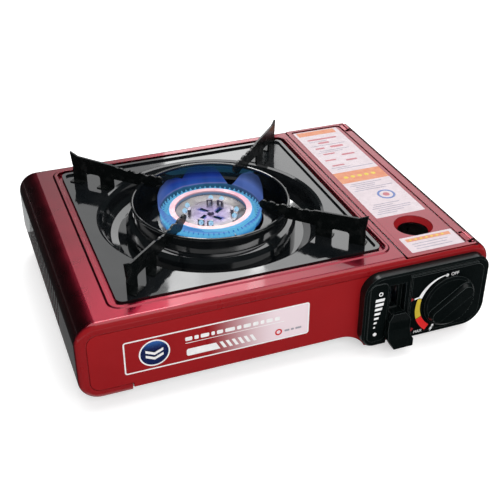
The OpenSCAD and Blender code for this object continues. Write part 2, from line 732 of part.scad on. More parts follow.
function blend4(a, b, c, d, t) = 0.5 * ((2 * b) + (c - a) * t + (2 * a - 5 * b + 4 * c - d) * t * t
    + (3 * b - a - 3 * c + d) * t * t * t);
function at_end(v, i) = v[max(0, min(len(v) - 1, i))];
function smooth(v, n) = [for (i = [0:len(v) - 2]) for (k = [0:n - 1])
    blend4(at_end(v, i - 1), v[i], v[i + 1], at_end(v, i + 2), k / n), v[len(v) - 1]];
function unit(v) = v / norm(v);
function ring_at(p, dir, r) = let (s = unit(cross(dir, [0.13, 0.21, 0.97])), u = cross(dir, s))
    [for (k = [0:7]) p + r * (cos(k * 45) * s + sin(k * 45) * u)];

module lead(points, r) {
    n = len(points);
    rings = [for (i = [0:n - 1])
        ring_at(points[i], unit(points[min(n - 1, i + 1)] - points[max(0, i - 1)]), r)];
    faces = [for (i = [0:n - 2]) for (k = [0:7]) let (a = i * 8, b = a + 8, j = (k + 1) % 8)
        each [[a + k, a + j, b + j], [a + k, b + j, b + k]]];
    polyhedron([for (q = rings) each q],
        concat(faces, [[7, 6, 5, 4, 3, 2, 1, 0]], [[for (k = [0:7]) (n - 1) * 8 + k]]));
}

module ignition_wire() color("#e8e4da") place() lead(smooth(wire_at, wire_steps), wire_r);

// ---------------------------------------------------------------- controls

module valve_shaft() color("#c9a24a") place() difference() {
    along_y(knob_x, knob_y + 4, knob_z, shaft_r, cast_y0 + 9 - knob_y - 4);
    // flat that drives the knob
    translate([knob_x - 5, knob_y + 3, knob_z + shaft_r - 1.2])
        cube([10, knob_out - 2, 4]);
}

grip_w = 13.5;
knob_gap = 0.4;

module knob() color(black) place() translate([knob_x, 0, knob_z]) rotate([0, -knob_turn, 0])
    difference() {
        union() {
            along_y(0, -panel_out - knob_gap - 3, 0, knob_r, 2);
            translate([0, -panel_out - knob_gap - 3 + eps, 0]) rotate([90, 0, 0])
                cylinder(r1 = knob_r, r2 = knob_r - 2, h = 1.5);
            // grip bar with round ends, narrowing towards its top
            hull() {
                deep(-panel_out - 4, 1) even(-knob_r + 1, -grip_w / 2, knob_r - 1, grip_w / 2, 7);
                deep(knob_y, 1) even(-knob_r + 3, -grip_w / 2 + 1.5, knob_r - 3, grip_w / 2 - 1.5, 5.5);
            }
        }
        rotate([0, knob_turn, 0]) difference() {
            along_y(0, knob_y + 3.5, 0, shaft_r + 0.02, knob_out);
            translate([-6, knob_y + 3, shaft_r - 1.1]) cube([12, knob_out - 2.5, 4]);
        }
    }

module panel_outline(inset) rounded(panel_x0 + inset, panel_z0 + inset, panel_x1 - inset,
    panel_z1 - inset, [12 - inset, 19 - inset, 13 - inset, 16 - inset]);

panel_t = 2;
plate_x = channel_x + channel_w + 4.6;

module control_panel() color(black) place() difference() {
    union() {
        hull() {
            deep(-panel_out + 1.5, panel_out - 1.5) panel_outline(0);
            deep(-panel_out, 1.5) panel_outline(1.5);
        }
        // raised pad left of the channel, and the dial plate right of it
        deep(-panel_out - 0.8, 0.8 + eps)
            even(panel_x0 + 4, panel_z0 + 6, channel_x - 2, panel_z1 - 5, 5);
        deep(-panel_out - 1, 1 + eps) rounded(plate_x, panel_z0 + 5,
            panel_x1 - 6, panel_z1 - 5, [1, 13, 8, 1]);
        translate([plate_x - 1.2, -panel_out - 1.6, panel_z0 + 14])
            cube([1.6, 1.6 + eps, panel_z1 - panel_z0 - 18]);
        translate([plate_x - 1.2, -panel_out - 1.4, panel_z1 - 4.4])
            cube([panel_x1 - plate_x - 11, 1.4 + eps, 1.4]);
    }
    // hollow of the moulding, either side of the lever's channel
    difference() {
        deep(-panel_out + panel_t, panel_out) panel_outline(panel_t);
        translate([channel_x - panel_t, -20, -10]) cube([channel_w + 2 * panel_t, 30, channel_z1 + 12]);
        along_y(knob_x, -panel_out, knob_z, shaft_r + 5, 20);
        for (p = screw_at) along_y(p[0], -panel_out, p[1], screw_r + 2, 20);
    }
    translate([channel_x, -panel_out - 3, -10]) cube([channel_w, panel_out, channel_z1 + 10]);
    translate([lever_x - slot_w / 2, -20, slot_z0]) cube([slot_w, 30, slot_z1 - slot_z0]);
    along_y(knob_x, -panel_out - 3, knob_z, shaft_r + 1, 20);
    for (p = screw_at) along_y(p[0], -panel_out + 3, p[1], screw_r + run_fit, 20);
}

module panel_screws() color("#8f9296") place() {
    for (p = screw_at) {
        along_y(p[0], -panel_out + 4, p[1], screw_r, panel_out - 4 + sheet + 0.1);
        along_y(p[0], sheet, p[1], 3, 1.6);
    }
    for (s = [-1, 1]) {
        along_y(knob_x + s * screw_off, cast_y0 - 1.5, knob_z, screw_r, 7);
        along_y(knob_x + s * screw_off, cast_y0 + 4, knob_z, 2.6, 1.6);
    }
}

tab_x1 = lever_x + 12.4;
tab_z = z_top - 72.3;
grip_y = -panel_out - 2.4;

// the lever's thumb tab from the front, and its section from the side
module tab_face() polygon([[lever_x - 10.4, tab_z + 10.8], [lever_x - 4.3, tab_z],
    [tab_x1 - 1, tab_z], [tab_x1, tab_z + 1], [tab_x1, tab_z + 8], [tab_x1 - 2.6, tab_z + 12],
    [tab_x1 - 2.6, tab_z + 27], [tab_x1 - 6.6, tab_z + 32], [lever_x - 5, tab_z + 32],
    [lever_x - 9.4, tab_z + 27]]);

module tab_side() polygon([[grip_y, tab_z], [grip_y, tab_z + 32], [grip_y - 3, tab_z + 32],
    [grip_y - 5, tab_z + 26], [-lever_reach + 3, tab_z + 18], [-lever_reach, tab_z + 11],
    [-lever_reach, tab_z + 1], [-lever_reach + 1, tab_z]]);

module lock_lever() color(black) place() difference() {
    union() {
        // stem through the panel
        translate([lever_x - stem_w / 2, -4, stem_z + 0.7]) cube([stem_w, 7, stem_h - 0.7]);
        // block in the channel, and the thumb tab in front of it
        translate([channel_x + 1.4, grip_y - 1, stem_z - 1])
            cube([channel_w - 2.8, -3.5 - grip_y + 1, stem_h]);
        intersection() {
            deep(-lever_reach - 1, 20) tab_face();
            translate([lever_x - 20, 0, 0]) rotate([90, 0, 90]) linear_extrude(40) tab_side();
        }
        // cam plate behind the panel
        translate([cam_x, 2.9, stem_z + 0.7]) cube([cam_t, 27, stem_h + 6.5]);
    }
    // slanted slot: the peg starts at its upper front end
    translate([cam_x - 1, peg_y, peg_z]) {
        slope = atan(slide_travel / lever_travel);
        run = norm([slide_travel, lever_travel]);
        rotate([0, 90, 0]) cylinder(r = peg_r + peg_gap, h = cam_t + 2);
        rotate([slope, 0, 0]) translate([0, -peg_r - peg_gap, -run])
            cube([cam_t + 2, 2 * (peg_r + peg_gap), run]);
        translate([0, slide_travel, -lever_travel]) rotate([0, 90, 0])
            cylinder(r = peg_r + peg_gap, h = cam_t + 2);
    }
}

fork_y = 50.6;
slide_x = bay_x + sheet + seat;

module canister_slide() color(zinc) place() difference() {
    union() {
        translate([cam_x - 0.6, peg_y, peg_z]) rotate([0, 90, 0])
            cylinder(r = peg_r, h = slide_x + 0.5 - cam_x + 0.6);
        translate([slide_x, peg_y - 4, peg_z - 12]) cube([2, 9, 15]);
        translate([slide_x, peg_y - 4, peg_z - 16]) cube([2, fork_y - peg_y + 5.5, 9]);
        translate([slide_x, fork_y, can_z - 20]) cube([can_x - slide_x + 21, 1.5, 20]);
        translate([slide_x, fork_y, can_z - eps]) cube([can_x - slide_x - 17, 1.5, 9]);
    }
    along_y(can_x, fork_y - 1, can_z, 17.5, 4);
}

guide_y = 47;

module canister_guide() color(zinc) place() {
    difference() {
        translate([slide_x + 3, guide_y, bay_floor + sheet])
            cube([tray_x1 - sheet - slide_x - 3, 1.5, can_z + 12 - bay_floor - sheet]);
        along_y(can_x, guide_y - 1, can_z, 17.5, 4);
        translate([can_x - 17.5, guide_y - 1, can_z]) cube([35, 4, 40]);
        // corner that clears the tray's bend
        translate([tray_x1 - sheet - 9, guide_y - 1, bay_floor]) cube([12, 4, 10]);
        translate([can_x - 34, guide_y - 1, bay_floor + 5]) cube([30, 4, 9]);
    }
    // tab that meets the notch in the canister's collar
    translate([can_x + 17.4, guide_y, can_z + 6]) cube([8, 1.5, 20]);
    translate([can_x - 4, guide_y, can_z + 24.5]) cube([29.4, 1.5, 3]);
    translate([can_x - 3, guide_y, can_z + 17]) cube([6, 1.5, 8]);
}

module canister_rests() color(black) place()
    for (y = [95, 190]) difference() {
        translate([can_x - 22, y, bay_floor + sheet]) cube([44, 8, 6]);
        along_y(can_x, y - 1, can_z, can_r + 0.4, 10);
    }

// ---------------------------------------------------------------- lid

field_drop = 0.8;
lid_plate_x0 = lid_x + lid_side_gap;
lid_plate_y0 = lid_y0 + lid_gap;
lid_len = body_d - 2 * lid_plate_y0;
field_x0 = lid_x + 5.5;
field_x1 = hinge_x - 5.5;
field_y0 = lid_y0 + 4;

module lid_plate(x0, x1, y0, y1, r, z0, z1)
    translate([0, 0, z0]) linear_extrude(z1 - z0) even(x0, y0, x1, y1, r);

module lid() color(red) place() difference() {
    union() {
        lid_plate(lid_plate_x0, lid_x1, lid_plate_y0, body_d - lid_plate_y0, 1.5, z_in, z_top);
        lid_plate(field_x0 - 1, field_x1 + 1, field_y0 - 1, body_d - field_y0 + 1, 5,
            z_in - field_drop, z_in + eps);
        // stiffening flanges turned down at the left and the ends
        translate([lid_x + 5.5, 8, z_in - 6]) cube([sheet, body_d - 16, 6]);
        for (y = [lid_plate_y0 + 6, body_d - lid_plate_y0 - 7])
            translate([lid_x + 5.5, y, z_in - 5]) cube([hinge_x - lid_x - 20, sheet, 5]);
        hinge_places() {
            deep(0, knuckle_l) polygon([[hinge_x - 6.5, z_in], [hinge_x - 6.5, z_top],
                [hinge_x - knuckle_r * 0.62, hinge_z + knuckle_r * 0.75],
                [hinge_x, hinge_z + knuckle_r * 0.75], [hinge_x, hinge_z]]);
            along_y(hinge_x, 0, hinge_z, knuckle_r, knuckle_l);
        }
        translate([view_x, view_y, 0]) rotate_extrude() polygon([
            [view_r, z_in - 4.5], [view_r + 1, z_in - 4.5], [view_r + 4.6, z_in - field_drop],
            [view_r + 4.6, z_in], [view_r + 3.4, z_in]]);
    }
    lid_plate(field_x0, field_x1, field_y0, body_d - field_y0, 4, z_in + sheet - field_drop, z_top + 1);
    translate([view_x, view_y, z_in - 6]) cylinder(r = view_r, h = 9);
    translate([view_x, view_y, z_in - 4.5]) cylinder(r1 = view_r, r2 = view_r + 3.6, h = 4.5 + eps);
    translate([view_x, view_y, z_in]) cylinder(r = view_r + 3.6, h = 3);
    hinge_places() {
        translate([0, -1, 0]) along_y(hinge_x, 0, hinge_z, pin_r + run_fit, knuckle_l + 2);
        for (y = [-ear_t - ear_gap - 0.5, knuckle_l + 0.01])
            translate([hinge_x - 4.6, y, z_in - 2]) cube([8, ear_t + ear_gap + 0.5, 8]);
    }
}

module hinge_brackets() color(red) place() hinge_places() difference() {
    union() {
        for (y = [-ear_t - ear_gap, knuckle_l + ear_gap]) {
            deep(y, ear_t) polygon([[hinge_x - ear_r, hinge_z], [hinge_x - ear_r, hinge_z - 8],
                [body_w - sheet, z_top - corner_r - 8], [body_w - sheet, z_top - corner_r - 1],
                [hinge_x + 4, hinge_z - 2.5], [hinge_x + ear_r, hinge_z]]);
            along_y(hinge_x, y, hinge_z, ear_r, ear_t);
        }
        translate([body_w - 2 * sheet, -ear_t - ear_gap, z_top - corner_r - 8])
            cube([sheet, hinge_len, 6]);
    }
    along_y(hinge_x, -5, hinge_z, pin_r + 0.02, knuckle_l + 10);
}

module hinge_pins() color("#9a9ca0") place() hinge_places()
    along_y(hinge_x, -ear_t - ear_gap - 0.2, hinge_z, pin_r, hinge_len + 0.4);

// ---------------------------------------------------------------- output

body_shell();
front_panel();
back_panel();
bottom_plate();
partition();
gas_tray();
left_feet();
right_feet();
drip_pan();
wind_ring();
support_arm(225);  // support_arm_front_left
support_arm(315);  // support_arm_front_right
support_arm(45);  // support_arm_back_right
support_arm(135);  // support_arm_back_left
burner_body();
burner_head();
burner_dish();
burner_bracket();
igniter_ceramic();
igniter_tip();
ignition_wire();
piezo_igniter();
regulator_body();
regulator_cover();
regulator_bracket();
gas_jet();
inlet_seal();
valve_shaft();
knob();
control_panel();
panel_screws();
lock_lever();
canister_slide();
canister_guide();
canister_rests();
lid();
hinge_brackets();
hinge_pins();
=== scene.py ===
"""Looks of a butane cassette stove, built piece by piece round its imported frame.

Lengths in the sections are millimetres from the case's front left corner on the table,
as a maker would measure them, and at() turns them into the frame's metres.
"""
import bmesh
import bpy
import math
import numpy as np
from mathutils import Matrix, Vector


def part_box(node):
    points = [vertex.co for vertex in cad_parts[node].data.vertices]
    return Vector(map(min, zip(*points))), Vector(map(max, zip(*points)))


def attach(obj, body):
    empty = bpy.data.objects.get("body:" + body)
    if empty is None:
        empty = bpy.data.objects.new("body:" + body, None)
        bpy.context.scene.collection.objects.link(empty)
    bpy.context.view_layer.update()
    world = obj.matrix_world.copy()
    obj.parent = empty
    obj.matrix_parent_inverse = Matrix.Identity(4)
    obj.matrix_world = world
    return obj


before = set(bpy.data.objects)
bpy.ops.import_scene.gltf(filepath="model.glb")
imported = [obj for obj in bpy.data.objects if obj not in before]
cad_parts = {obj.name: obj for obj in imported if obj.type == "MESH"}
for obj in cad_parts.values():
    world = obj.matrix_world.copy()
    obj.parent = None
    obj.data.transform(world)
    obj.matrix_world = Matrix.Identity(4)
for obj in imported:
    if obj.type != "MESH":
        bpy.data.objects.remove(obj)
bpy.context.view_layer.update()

# ---------------------------------------------------------------------------
# Viewpoint: standing at the stove's front left, looking down on it with a long lens.
# The stove fills the frame from corner to corner.
EYE = (-0.23685, -0.63406, 0.46714)
YAW, PITCH, ROLL = 0.366, 0.563, 0.005
FOCAL_PX, FRAME_PX, SENSOR_MM = 903.1, 500.0, 36.0

ahead = np.array([math.sin(YAW) * math.cos(PITCH), math.cos(YAW) * math.cos(PITCH), -math.sin(PITCH)])
level = np.array([math.cos(YAW), -math.sin(YAW), 0.0])
upward = np.cross(level, ahead)
right = math.cos(ROLL) * level + math.sin(ROLL) * upward
up = -math.sin(ROLL) * level + math.cos(ROLL) * upward
camera_data = bpy.data.cameras.new("studio_camera")
camera_data.sensor_width = SENSOR_MM
camera_data.lens = FOCAL_PX * SENSOR_MM / FRAME_PX
camera_data.clip_start = 0.01
camera = bpy.data.objects.new("studio_camera", camera_data)
turn = np.eye(4)
turn[:3, 0], turn[:3, 1], turn[:3, 2], turn[:3, 3] = right, up, -ahead, EYE
camera.matrix_world = Matrix(turn.tolist())
bpy.context.scene.collection.objects.link(camera)
bpy.context.scene.camera = camera
bpy.context.scene.view_settings.view_transform = "Standard"


# ---------------------------------------------------------------------------
# Studio: a white table in a room that looks white from the camera and dark in reflections.
# Soft panels behind and over the stove are mirrored by its paint and enamel, and a plain
# one in front isn't. Cards on the table, dark and half dark, only show in reflections.
def wire(tree, source, target):
    tree.links.new(source, target)


def node(tree, kind, **settings):
    """A new node. A setting that starts with in_ goes to the input of that name."""
    made = tree.nodes.new(kind)
    for key, value in settings.items():
        if key.startswith("in_"):
            made.inputs[key[3:].replace("_", " ")].default_value = value
        else:
            setattr(made, key, value)
    return made


def seen_directly(tree):
    """1 for rays that look straight at the backdrop or through clear things, else 0, and
    1 for rays that are mirrored, else 0."""
    path = node(tree, "ShaderNodeLightPath")
    either = node(tree, "ShaderNodeMath", operation="MAXIMUM")
    wire(tree, path.outputs["Is Camera Ray"], either.inputs[0])
    wire(tree, path.outputs["Is Transmission Ray"], either.inputs[1])
    return either.outputs[0], path.outputs["Is Glossy Ray"]


world = bpy.data.worlds.new("white_surround")
bpy.context.scene.world = world
world.use_nodes = True
sky = world.node_tree
sky.nodes.clear()
direct, glossy = seen_directly(sky)
fill = node(sky, "ShaderNodeBackground", in_Color=(1.0, 1.0, 1.0, 1.0), in_Strength=0.42)
dark = node(sky, "ShaderNodeBackground", in_Color=(0.75, 1.0, 1.0, 1.0), in_Strength=0.022)
white = node(sky, "ShaderNodeBackground", in_Color=(1.0, 1.0, 1.0, 1.0), in_Strength=1.05)
unseen, choose = node(sky, "ShaderNodeMixShader"), node(sky, "ShaderNodeMixShader")
out = node(sky, "ShaderNodeOutputWorld")
wire(sky, glossy, unseen.inputs[0])
wire(sky, fill.outputs[0], unseen.inputs[1])
wire(sky, dark.outputs[0], unseen.inputs[2])
wire(sky, direct, choose.inputs[0])
wire(sky, unseen.outputs[0], choose.inputs[1])
wire(sky, white.outputs[0], choose.inputs[2])
wire(sky, choose.outputs[0], out.inputs[0])


def panel(name, place, width, height, radiance, aim=(0.0, 0.0, 0.05), mirrored=True):
    """A rectangular soft light at place that faces aim, of the given radiance."""
    lamp = bpy.data.lights.new(name, "AREA")
    lamp.shape = "RECTANGLE"
    lamp.size, lamp.size_y = width, height
    lamp.energy = radiance * math.pi * width * height
    holder = bpy.data.objects.new(name, lamp)
    back = np.array(place, float) - np.array(aim, float)
    back /= np.linalg.norm(back)
    side = np.cross([0.0, 0.0, 1.0], back)
    side /= np.linalg.norm(side)
    pose = np.eye(4)
    pose[:3, 0], pose[:3, 1], pose[:3, 2], pose[:3, 3] = side, np.cross(back, side), back, place
    holder.matrix_world = Matrix(pose.tolist())
    holder.visible_camera = False
    holder.visible_glossy = mirrored
    bpy.context.scene.collection.objects.link(holder)


panel("back_right_light", (1.14, 1.26, 1.05), 1.2, 1.0, 1.75)
panel("back_middle_light", (0.541, 1.712, 1.05), 0.3, 1.0, 3.3)
panel("back_left_light", (0.24, 1.75, 1.05), 0.46, 1.0, 0.75)
panel("back_high_light", (0.22, 1.5, 1.75), 0.45, 0.45, 9.0)
panel("top_light", (0.25, 0.15, 1.35), 2.0, 1.2, 2.0, aim=(0.2, 0.1, 0.05))
panel("front_light", (0.0, -1.6, 1.2), 1.3, 1.0, 4.7, mirrored=False)


def flat_disc(name, radius, z):
    """A disc at height z. Its rings lie at r = radius * (i / n) ** 2, turned round the Z axis."""
    rings, spokes = 12, 64
    r = radius * (np.arange(1, rings + 1) / rings) ** 2
    a = np.arange(spokes) * 2 * math.pi / spokes
    ring = np.stack([np.outer(r, np.cos(a)), np.outer(r, np.sin(a)), np.full((rings, spokes), z)], -1)
    points = np.concatenate([[[0.0, 0.0, z]], ring.reshape(-1, 3)])
    k = np.arange(spokes)
    n = (k + 1) % spokes
    middle = np.stack([np.zeros_like(k), 1 + k, 1 + n], 1)
    i = np.arange(rings - 1)[:, None] * spokes + 1
    quads = np.stack([i + k, i + spokes + k, i + spokes + n, i + n], -1).reshape(-1, 4)
    mesh = bpy.data.meshes.new(name)
    mesh.from_pydata(points.tolist(), [], middle.tolist() + quads.tolist())
    made = bpy.data.objects.new(name, mesh)
    bpy.context.scene.collection.objects.link(made)
    return made


table = flat_disc("white_table", 7.0, 0.0)
table_paint = bpy.data.materials.new("white_table")
table_paint.use_nodes = True
tree = table_paint.node_tree
tree.nodes.clear()
matt = node(tree, "ShaderNodeBsdfDiffuse", in_Color=(0.72, 0.72, 0.72, 1.0))
lift = node(tree, "ShaderNodeEmission", in_Color=(1.0, 1.0, 1.0, 1.0))
share = node(tree, "ShaderNodeMath", operation="MULTIPLY")
share.inputs[1].default_value = 0.5
both = node(tree, "ShaderNodeAddShader")
out = node(tree, "ShaderNodeOutputMaterial")
wire(tree, seen_directly(tree)[0], share.inputs[0])
wire(tree, share.outputs[0], lift.inputs["Strength"])
wire(tree, matt.outputs[0], both.inputs[0])
wire(tree, lift.outputs[0], both.inputs[1])
wire(tree, both.outputs[0], out.inputs["Surface"])
table.data.materials.append(table_paint)


def dark_card(name, x, y, z, radiance):
    """A card that spans x and y at height z, only shows in reflections and has the given
    radiance."""
    corners = [(x[0], y[0], z), (x[1], y[0], z), (x[1], y[1], z), (x[0], y[1], z)]
    mesh = bpy.data.meshes.new(name)
    mesh.from_pydata(corners, [], [[0, 1, 2, 3]])
    card = bpy.data.objects.new(name, mesh)
    bpy.context.scene.collection.objects.link(card)
    paint = bpy.data.materials.new(name)
    paint.use_nodes = True
    paint.node_tree.nodes.clear()
    tone = node(paint.node_tree, "ShaderNodeEmission", in_Color=(0.95, 1.0, 1.0, 1.0), in_Strength=radiance)
    wire(paint.node_tree, tone.outputs[0], node(paint.node_tree, "ShaderNodeOutputMaterial").inputs["Surface"])
    card.data.materials.append(paint)
    card.visible_camera = card.visible_diffuse = card.visible_shadow = False


CASE_SIDE, STRIP_SIDE, FAR_SIDE = 0.1735, 0.188, 1.6
STRIP_BREAK, FAR_BACK = 0.165, 1.9
dark_card("left_card", (-FAR_SIDE, -STRIP_SIDE), (-0.3, FAR_BACK), 0.0006, 0.02)
dark_card("wall_card", (-STRIP_SIDE, -CASE_SIDE), (-0.3, STRIP_BREAK), 0.0006, 0.14)
dark_card("wall_back_card", (-STRIP_SIDE, -CASE_SIDE), (STRIP_BREAK, FAR_BACK), 0.0006, 0.55)
dark_card("right_card", (CASE_SIDE, FAR_SIDE), (-0.12, FAR_BACK), 0.0007, 0.02)
dark_card("front_card", (-0.5, 0.75), (-0.75, -0.13), 0.0009, 0.012)


# ---------------------------------------------------------------------------
# Painted sheet: the case, lid and hinge brackets are metallic red under a glossy clear coat
# with the slight orange peel of spray paint. The front lip, the inside of the lid's hole and
# the end plates have little of the metal flake and are a plain satin red.
ORIGIN_X, ORIGIN_Y = 172.5, 118.0


def at(x, y, z):
    """Metres in the frame for millimetres from the case's front left corner."""
    return np.array([x - ORIGIN_X, y - ORIGIN_Y, z]) / 1000.0


class Finish:
    """A Principled finish whose colour, roughness and relief come from patterns that lie
    in the object's own coordinates."""

    def __init__(self, name, colour, rough=0.4, metal=0.0, ior=1.5, **sockets):
        self.material = bpy.data.materials.new(name)
        self.material.use_nodes = True
        self.tree = self.material.node_tree
        self.shader = self.tree.nodes["Principled BSDF"]
        self.shader.inputs["Base Color"].default_value = (*colour, 1.0)
        self.shader.inputs["Roughness"].default_value = rough
        self.shader.inputs["Metallic"].default_value = metal
        self.shader.inputs["IOR"].default_value = ior
        for key, value in sockets.items():
            self.shader.inputs[key.replace("_", " ")].default_value = value
        self.place = node(self.tree, "ShaderNodeTexCoord").outputs["Object"]
        self.eased = None

    def axis(self, letter):
        """Socket for the object's own X, Y or Z in metres."""
        split = node(self.tree, "ShaderNodeSeparateXYZ")
        wire(self.tree, self.place, split.inputs[0])
        return split.outputs[letter]

    def stretched(self, scale):
        """Object coordinates scaled by a number for each axis."""
        mapping = node(self.tree, "ShaderNodeMapping")
        mapping.inputs["Scale"].default_value = scale
        wire(self.tree, self.place, mapping.inputs["Vector"])
        return mapping.outputs["Vector"]

    def offset(self, x, y):
        """Sockets for the way right and back from an upright axis at x, y in millimetres,
        both in metres."""
        mapping = node(self.tree, "ShaderNodeMapping")
        mapping.inputs["Location"].default_value = tuple(-at(x, y, 0.0))
        wire(self.tree, self.place, mapping.inputs["Vector"])
        split = node(self.tree, "ShaderNodeSeparateXYZ")
        wire(self.tree, mapping.outputs["Vector"], split.inputs[0])
        return split.outputs["X"], split.outputs["Y"]

    def distance(self, x, y):
        """Socket for the distance in metres from an upright axis at x, y in millimetres."""
        flat = node(self.tree, "ShaderNodeCombineXYZ")
        for socket, target in zip(self.offset(x, y), ("X", "Y")):
            wire(self.tree, socket, flat.inputs[target])
        length = node(self.tree, "ShaderNodeVectorMath", operation="LENGTH")
        wire(self.tree, flat.outputs[0], length.inputs[0])
        return length.outputs["Value"]

    def noise(self, scale, detail=3.0, where=None):
        made = node(self.tree, "ShaderNodeTexNoise", in_Scale=scale, in_Detail=detail)
        wire(self.tree, where or self.place, made.inputs["Vector"])
        return made.outputs["Fac"]

    def span(self, source, low, high, start=0.3, end=0.7):
        """Maps start..end of a pattern to low..high."""
        made = node(self.tree, "ShaderNodeMapRange", interpolation_type="SMOOTHSTEP")
        for key, value in zip(("From Min", "From Max", "To Min", "To Max"), (start, end, low, high)):
            made.inputs[key].default_value = value
        wire(self.tree, source, made.inputs["Value"])
        return made.outputs["Result"]

    def blend(self, factor, first, second):
        """Colour mix of two colours, each a socket or three numbers."""
        made = node(self.tree, "ShaderNodeMix", data_type="RGBA")
        wire(self.tree, factor, made.inputs["Factor"])
        for socket, value in ((made.inputs[6], first), (made.inputs[7], second)):
            if isinstance(value, tuple):
                socket.default_value = (*value, 1.0)
            else:
                wire(self.tree, value, socket)
        return made.outputs[2]

    def times(self, first, second):
        """Socket for the product of two sockets, held to 0..1."""
        made = node(self.tree, "ShaderNodeMath", operation="MULTIPLY", use_clamp=True)
        wire(self.tree, first, made.inputs[0])
        wire(self.tree, second, made.inputs[1])
        return made.outputs["Value"]

    def tint(self, source):
        wire(self.tree, source, self.shader.inputs["Base Color"])

    def roughen(self, source):
        wire(self.tree, source, self.shader.inputs["Roughness"])

    def mottled(self, scale, detail, first, second):
        """Colour that wanders between two colours."""
        return self.blend(self.span(self.noise(scale, detail), 0.0, 1.0), first, second)

    def wander(self, scale, detail, low, high, where=None):
        """Roughness that wanders between low and high."""
        self.roughen(self.span(self.noise(scale, detail, where), low, high))

    def ease(self, radius):
        """Rounds how sharp edges shade, as paint and mould radii do, by radius in metres."""
        self.eased = node(self.tree, "ShaderNodeBevel", samples=6, in_Radius=radius).outputs["Normal"]
        for socket in ("Normal", "Coat Normal"):
            wire(self.tree, self.eased, self.shader.inputs[socket])

    def painted_edge_highlight(self, base, edge, most=0.12):
        """A painted highlight: colour mix from base to edge along eased edges, by how far easing turns them."""
        true = node(self.tree, "ShaderNodeNewGeometry").outputs["True Normal"]
        dot = node(self.tree, "ShaderNodeVectorMath", operation="DOT_PRODUCT")
        wire(self.tree, true, dot.inputs[0])
        wire(self.tree, self.eased, dot.inputs[1])
        return self.blend(self.span(dot.outputs["Value"], 1.0, 0.0, 1.0 - most, 1.0 - most / 8), base, edge)

    def relief(self, scale, detail, depth, strength):
        """Bump of a noise, of the given depth in metres."""
        made = node(self.tree, "ShaderNodeBump", in_Strength=strength, in_Distance=depth)
        if self.eased:
            wire(self.tree, self.eased, made.inputs["Normal"])
        wire(self.tree, self.noise(scale, detail), made.inputs["Height"])
        wire(self.tree, made.outputs["Normal"], self.shader.inputs["Normal"])


def dress(finish, *names):
    """Gives CAD nodes this finish in every slot that they have."""
    for name in names:
        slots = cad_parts[name].data.materials
        if not slots:
            slots.append(finish.material)
        for k in range(len(slots)):
            slots[k] = finish.material


HOLE_X, HOLE_Y = 298.5, 46.5
LIP, HOLE_EDGE = (-0.1165, -0.1135), (0.0160, 0.0168)
PAINT_RADIUS = 0.0006
red_paint = Finish("red_paint", (0.285, 0.008, 0.012), rough=0.36, metal=1.0, ior=1.3, Coat_Weight=0.8,
                   Coat_Roughness=0.05, Coat_IOR=1.5)
flake = red_paint.times(red_paint.span(red_paint.axis("Y"), 0.0, 1.0, *LIP),
                        red_paint.span(red_paint.distance(HOLE_X, HOLE_Y), 0.0, 1.0, *HOLE_EDGE))
wire(red_paint.tree, flake, red_paint.shader.inputs["Metallic"])
metallic = red_paint.mottled(14.0, 2.0, (0.203, 0.0042, 0.017), (0.230, 0.005, 0.021))
red_paint.tint(red_paint.blend(flake, (0.26, 0.0075, 0.0105), metallic))
red_paint.wander(60.0, 4.0, 0.27, 0.33)
red_paint.ease(PAINT_RADIUS)
red_paint.relief(420.0, 2.0, 0.00003, 0.35)
dress(red_paint, "body_shell", "lid", "hinge_brackets")

satin_red = Finish("satin_red", (0.265, 0.008, 0.011), rough=0.4, ior=1.2)
satin_red.tint(satin_red.mottled(18.0, 3.0, (0.27, 0.0075, 0.010), (0.30, 0.009, 0.0115)))
satin_red.wander(60.0, 4.0, 0.34, 0.46)
satin_red.ease(PAINT_RADIUS)
satin_red.relief(420.0, 2.0, 0.00003, 0.35)
dress(satin_red, "front_panel", "back_panel")

# ---------------------------------------------------------------------------
# Bare sheet inside and underneath: hot-dip zinc with its frosty spangle.
# Bottom plate, partition, gas tray and the small brackets are folded from it.
zinc = Finish("zinc_sheet", (0.62, 0.64, 0.66), rough=0.35, metal=1.0)
spangle = node(zinc.tree, "ShaderNodeTexVoronoi", in_Scale=110.0)
wire(zinc.tree, zinc.place, spangle.inputs["Vector"])
frost = zinc.span(spangle.outputs["Color"], 0.0, 1.0, 0.2, 0.8)
zinc.tint(zinc.blend(frost, (0.52, 0.54, 0.57), (0.68, 0.70, 0.71)))
zinc.wander(90.0, 4.0, 0.26, 0.46)
zinc.relief(700.0, 2.0, 0.00002, 0.3)
dress(zinc, "bottom_plate", "partition", "gas_tray", "burner_bracket", "regulator_bracket",
      "canister_slide", "canister_guide")

# ---------------------------------------------------------------------------
# Rubber: moulded feet, the canister's two saddles and the inlet seal.
# It is matt, with the faint cloudiness of a mould release.
rubber = Finish("black_rubber", (0.02, 0.02, 0.021), rough=0.7)
rubber.tint(rubber.mottled(120.0, 3.0, (0.016, 0.016, 0.017), (0.03, 0.03, 0.032)))
rubber.wander(50.0, 3.0, 0.6, 0.82)
rubber.relief(900.0, 3.0, 0.00005, 0.5)
dress(rubber, "left_feet", "right_feet", "canister_rests", "inlet_seal")

# ---------------------------------------------------------------------------
# Drip pan and wind ring: steel pressings in vitreous black enamel, almost a mirror,
# with the slow waviness that fired enamel has.
enamel = Finish("black_enamel", (0.005, 0.006, 0.007), rough=0.05, ior=2.0)
enamel.tint(enamel.mottled(60.0, 3.0, (0.004, 0.005, 0.006), (0.008, 0.009, 0.010)))
enamel.wander(35.0, 5.0, 0.035, 0.10)
enamel.relief(90.0, 2.0, 0.00006, 0.4)
dress(enamel, "drip_pan", "wind_ring")
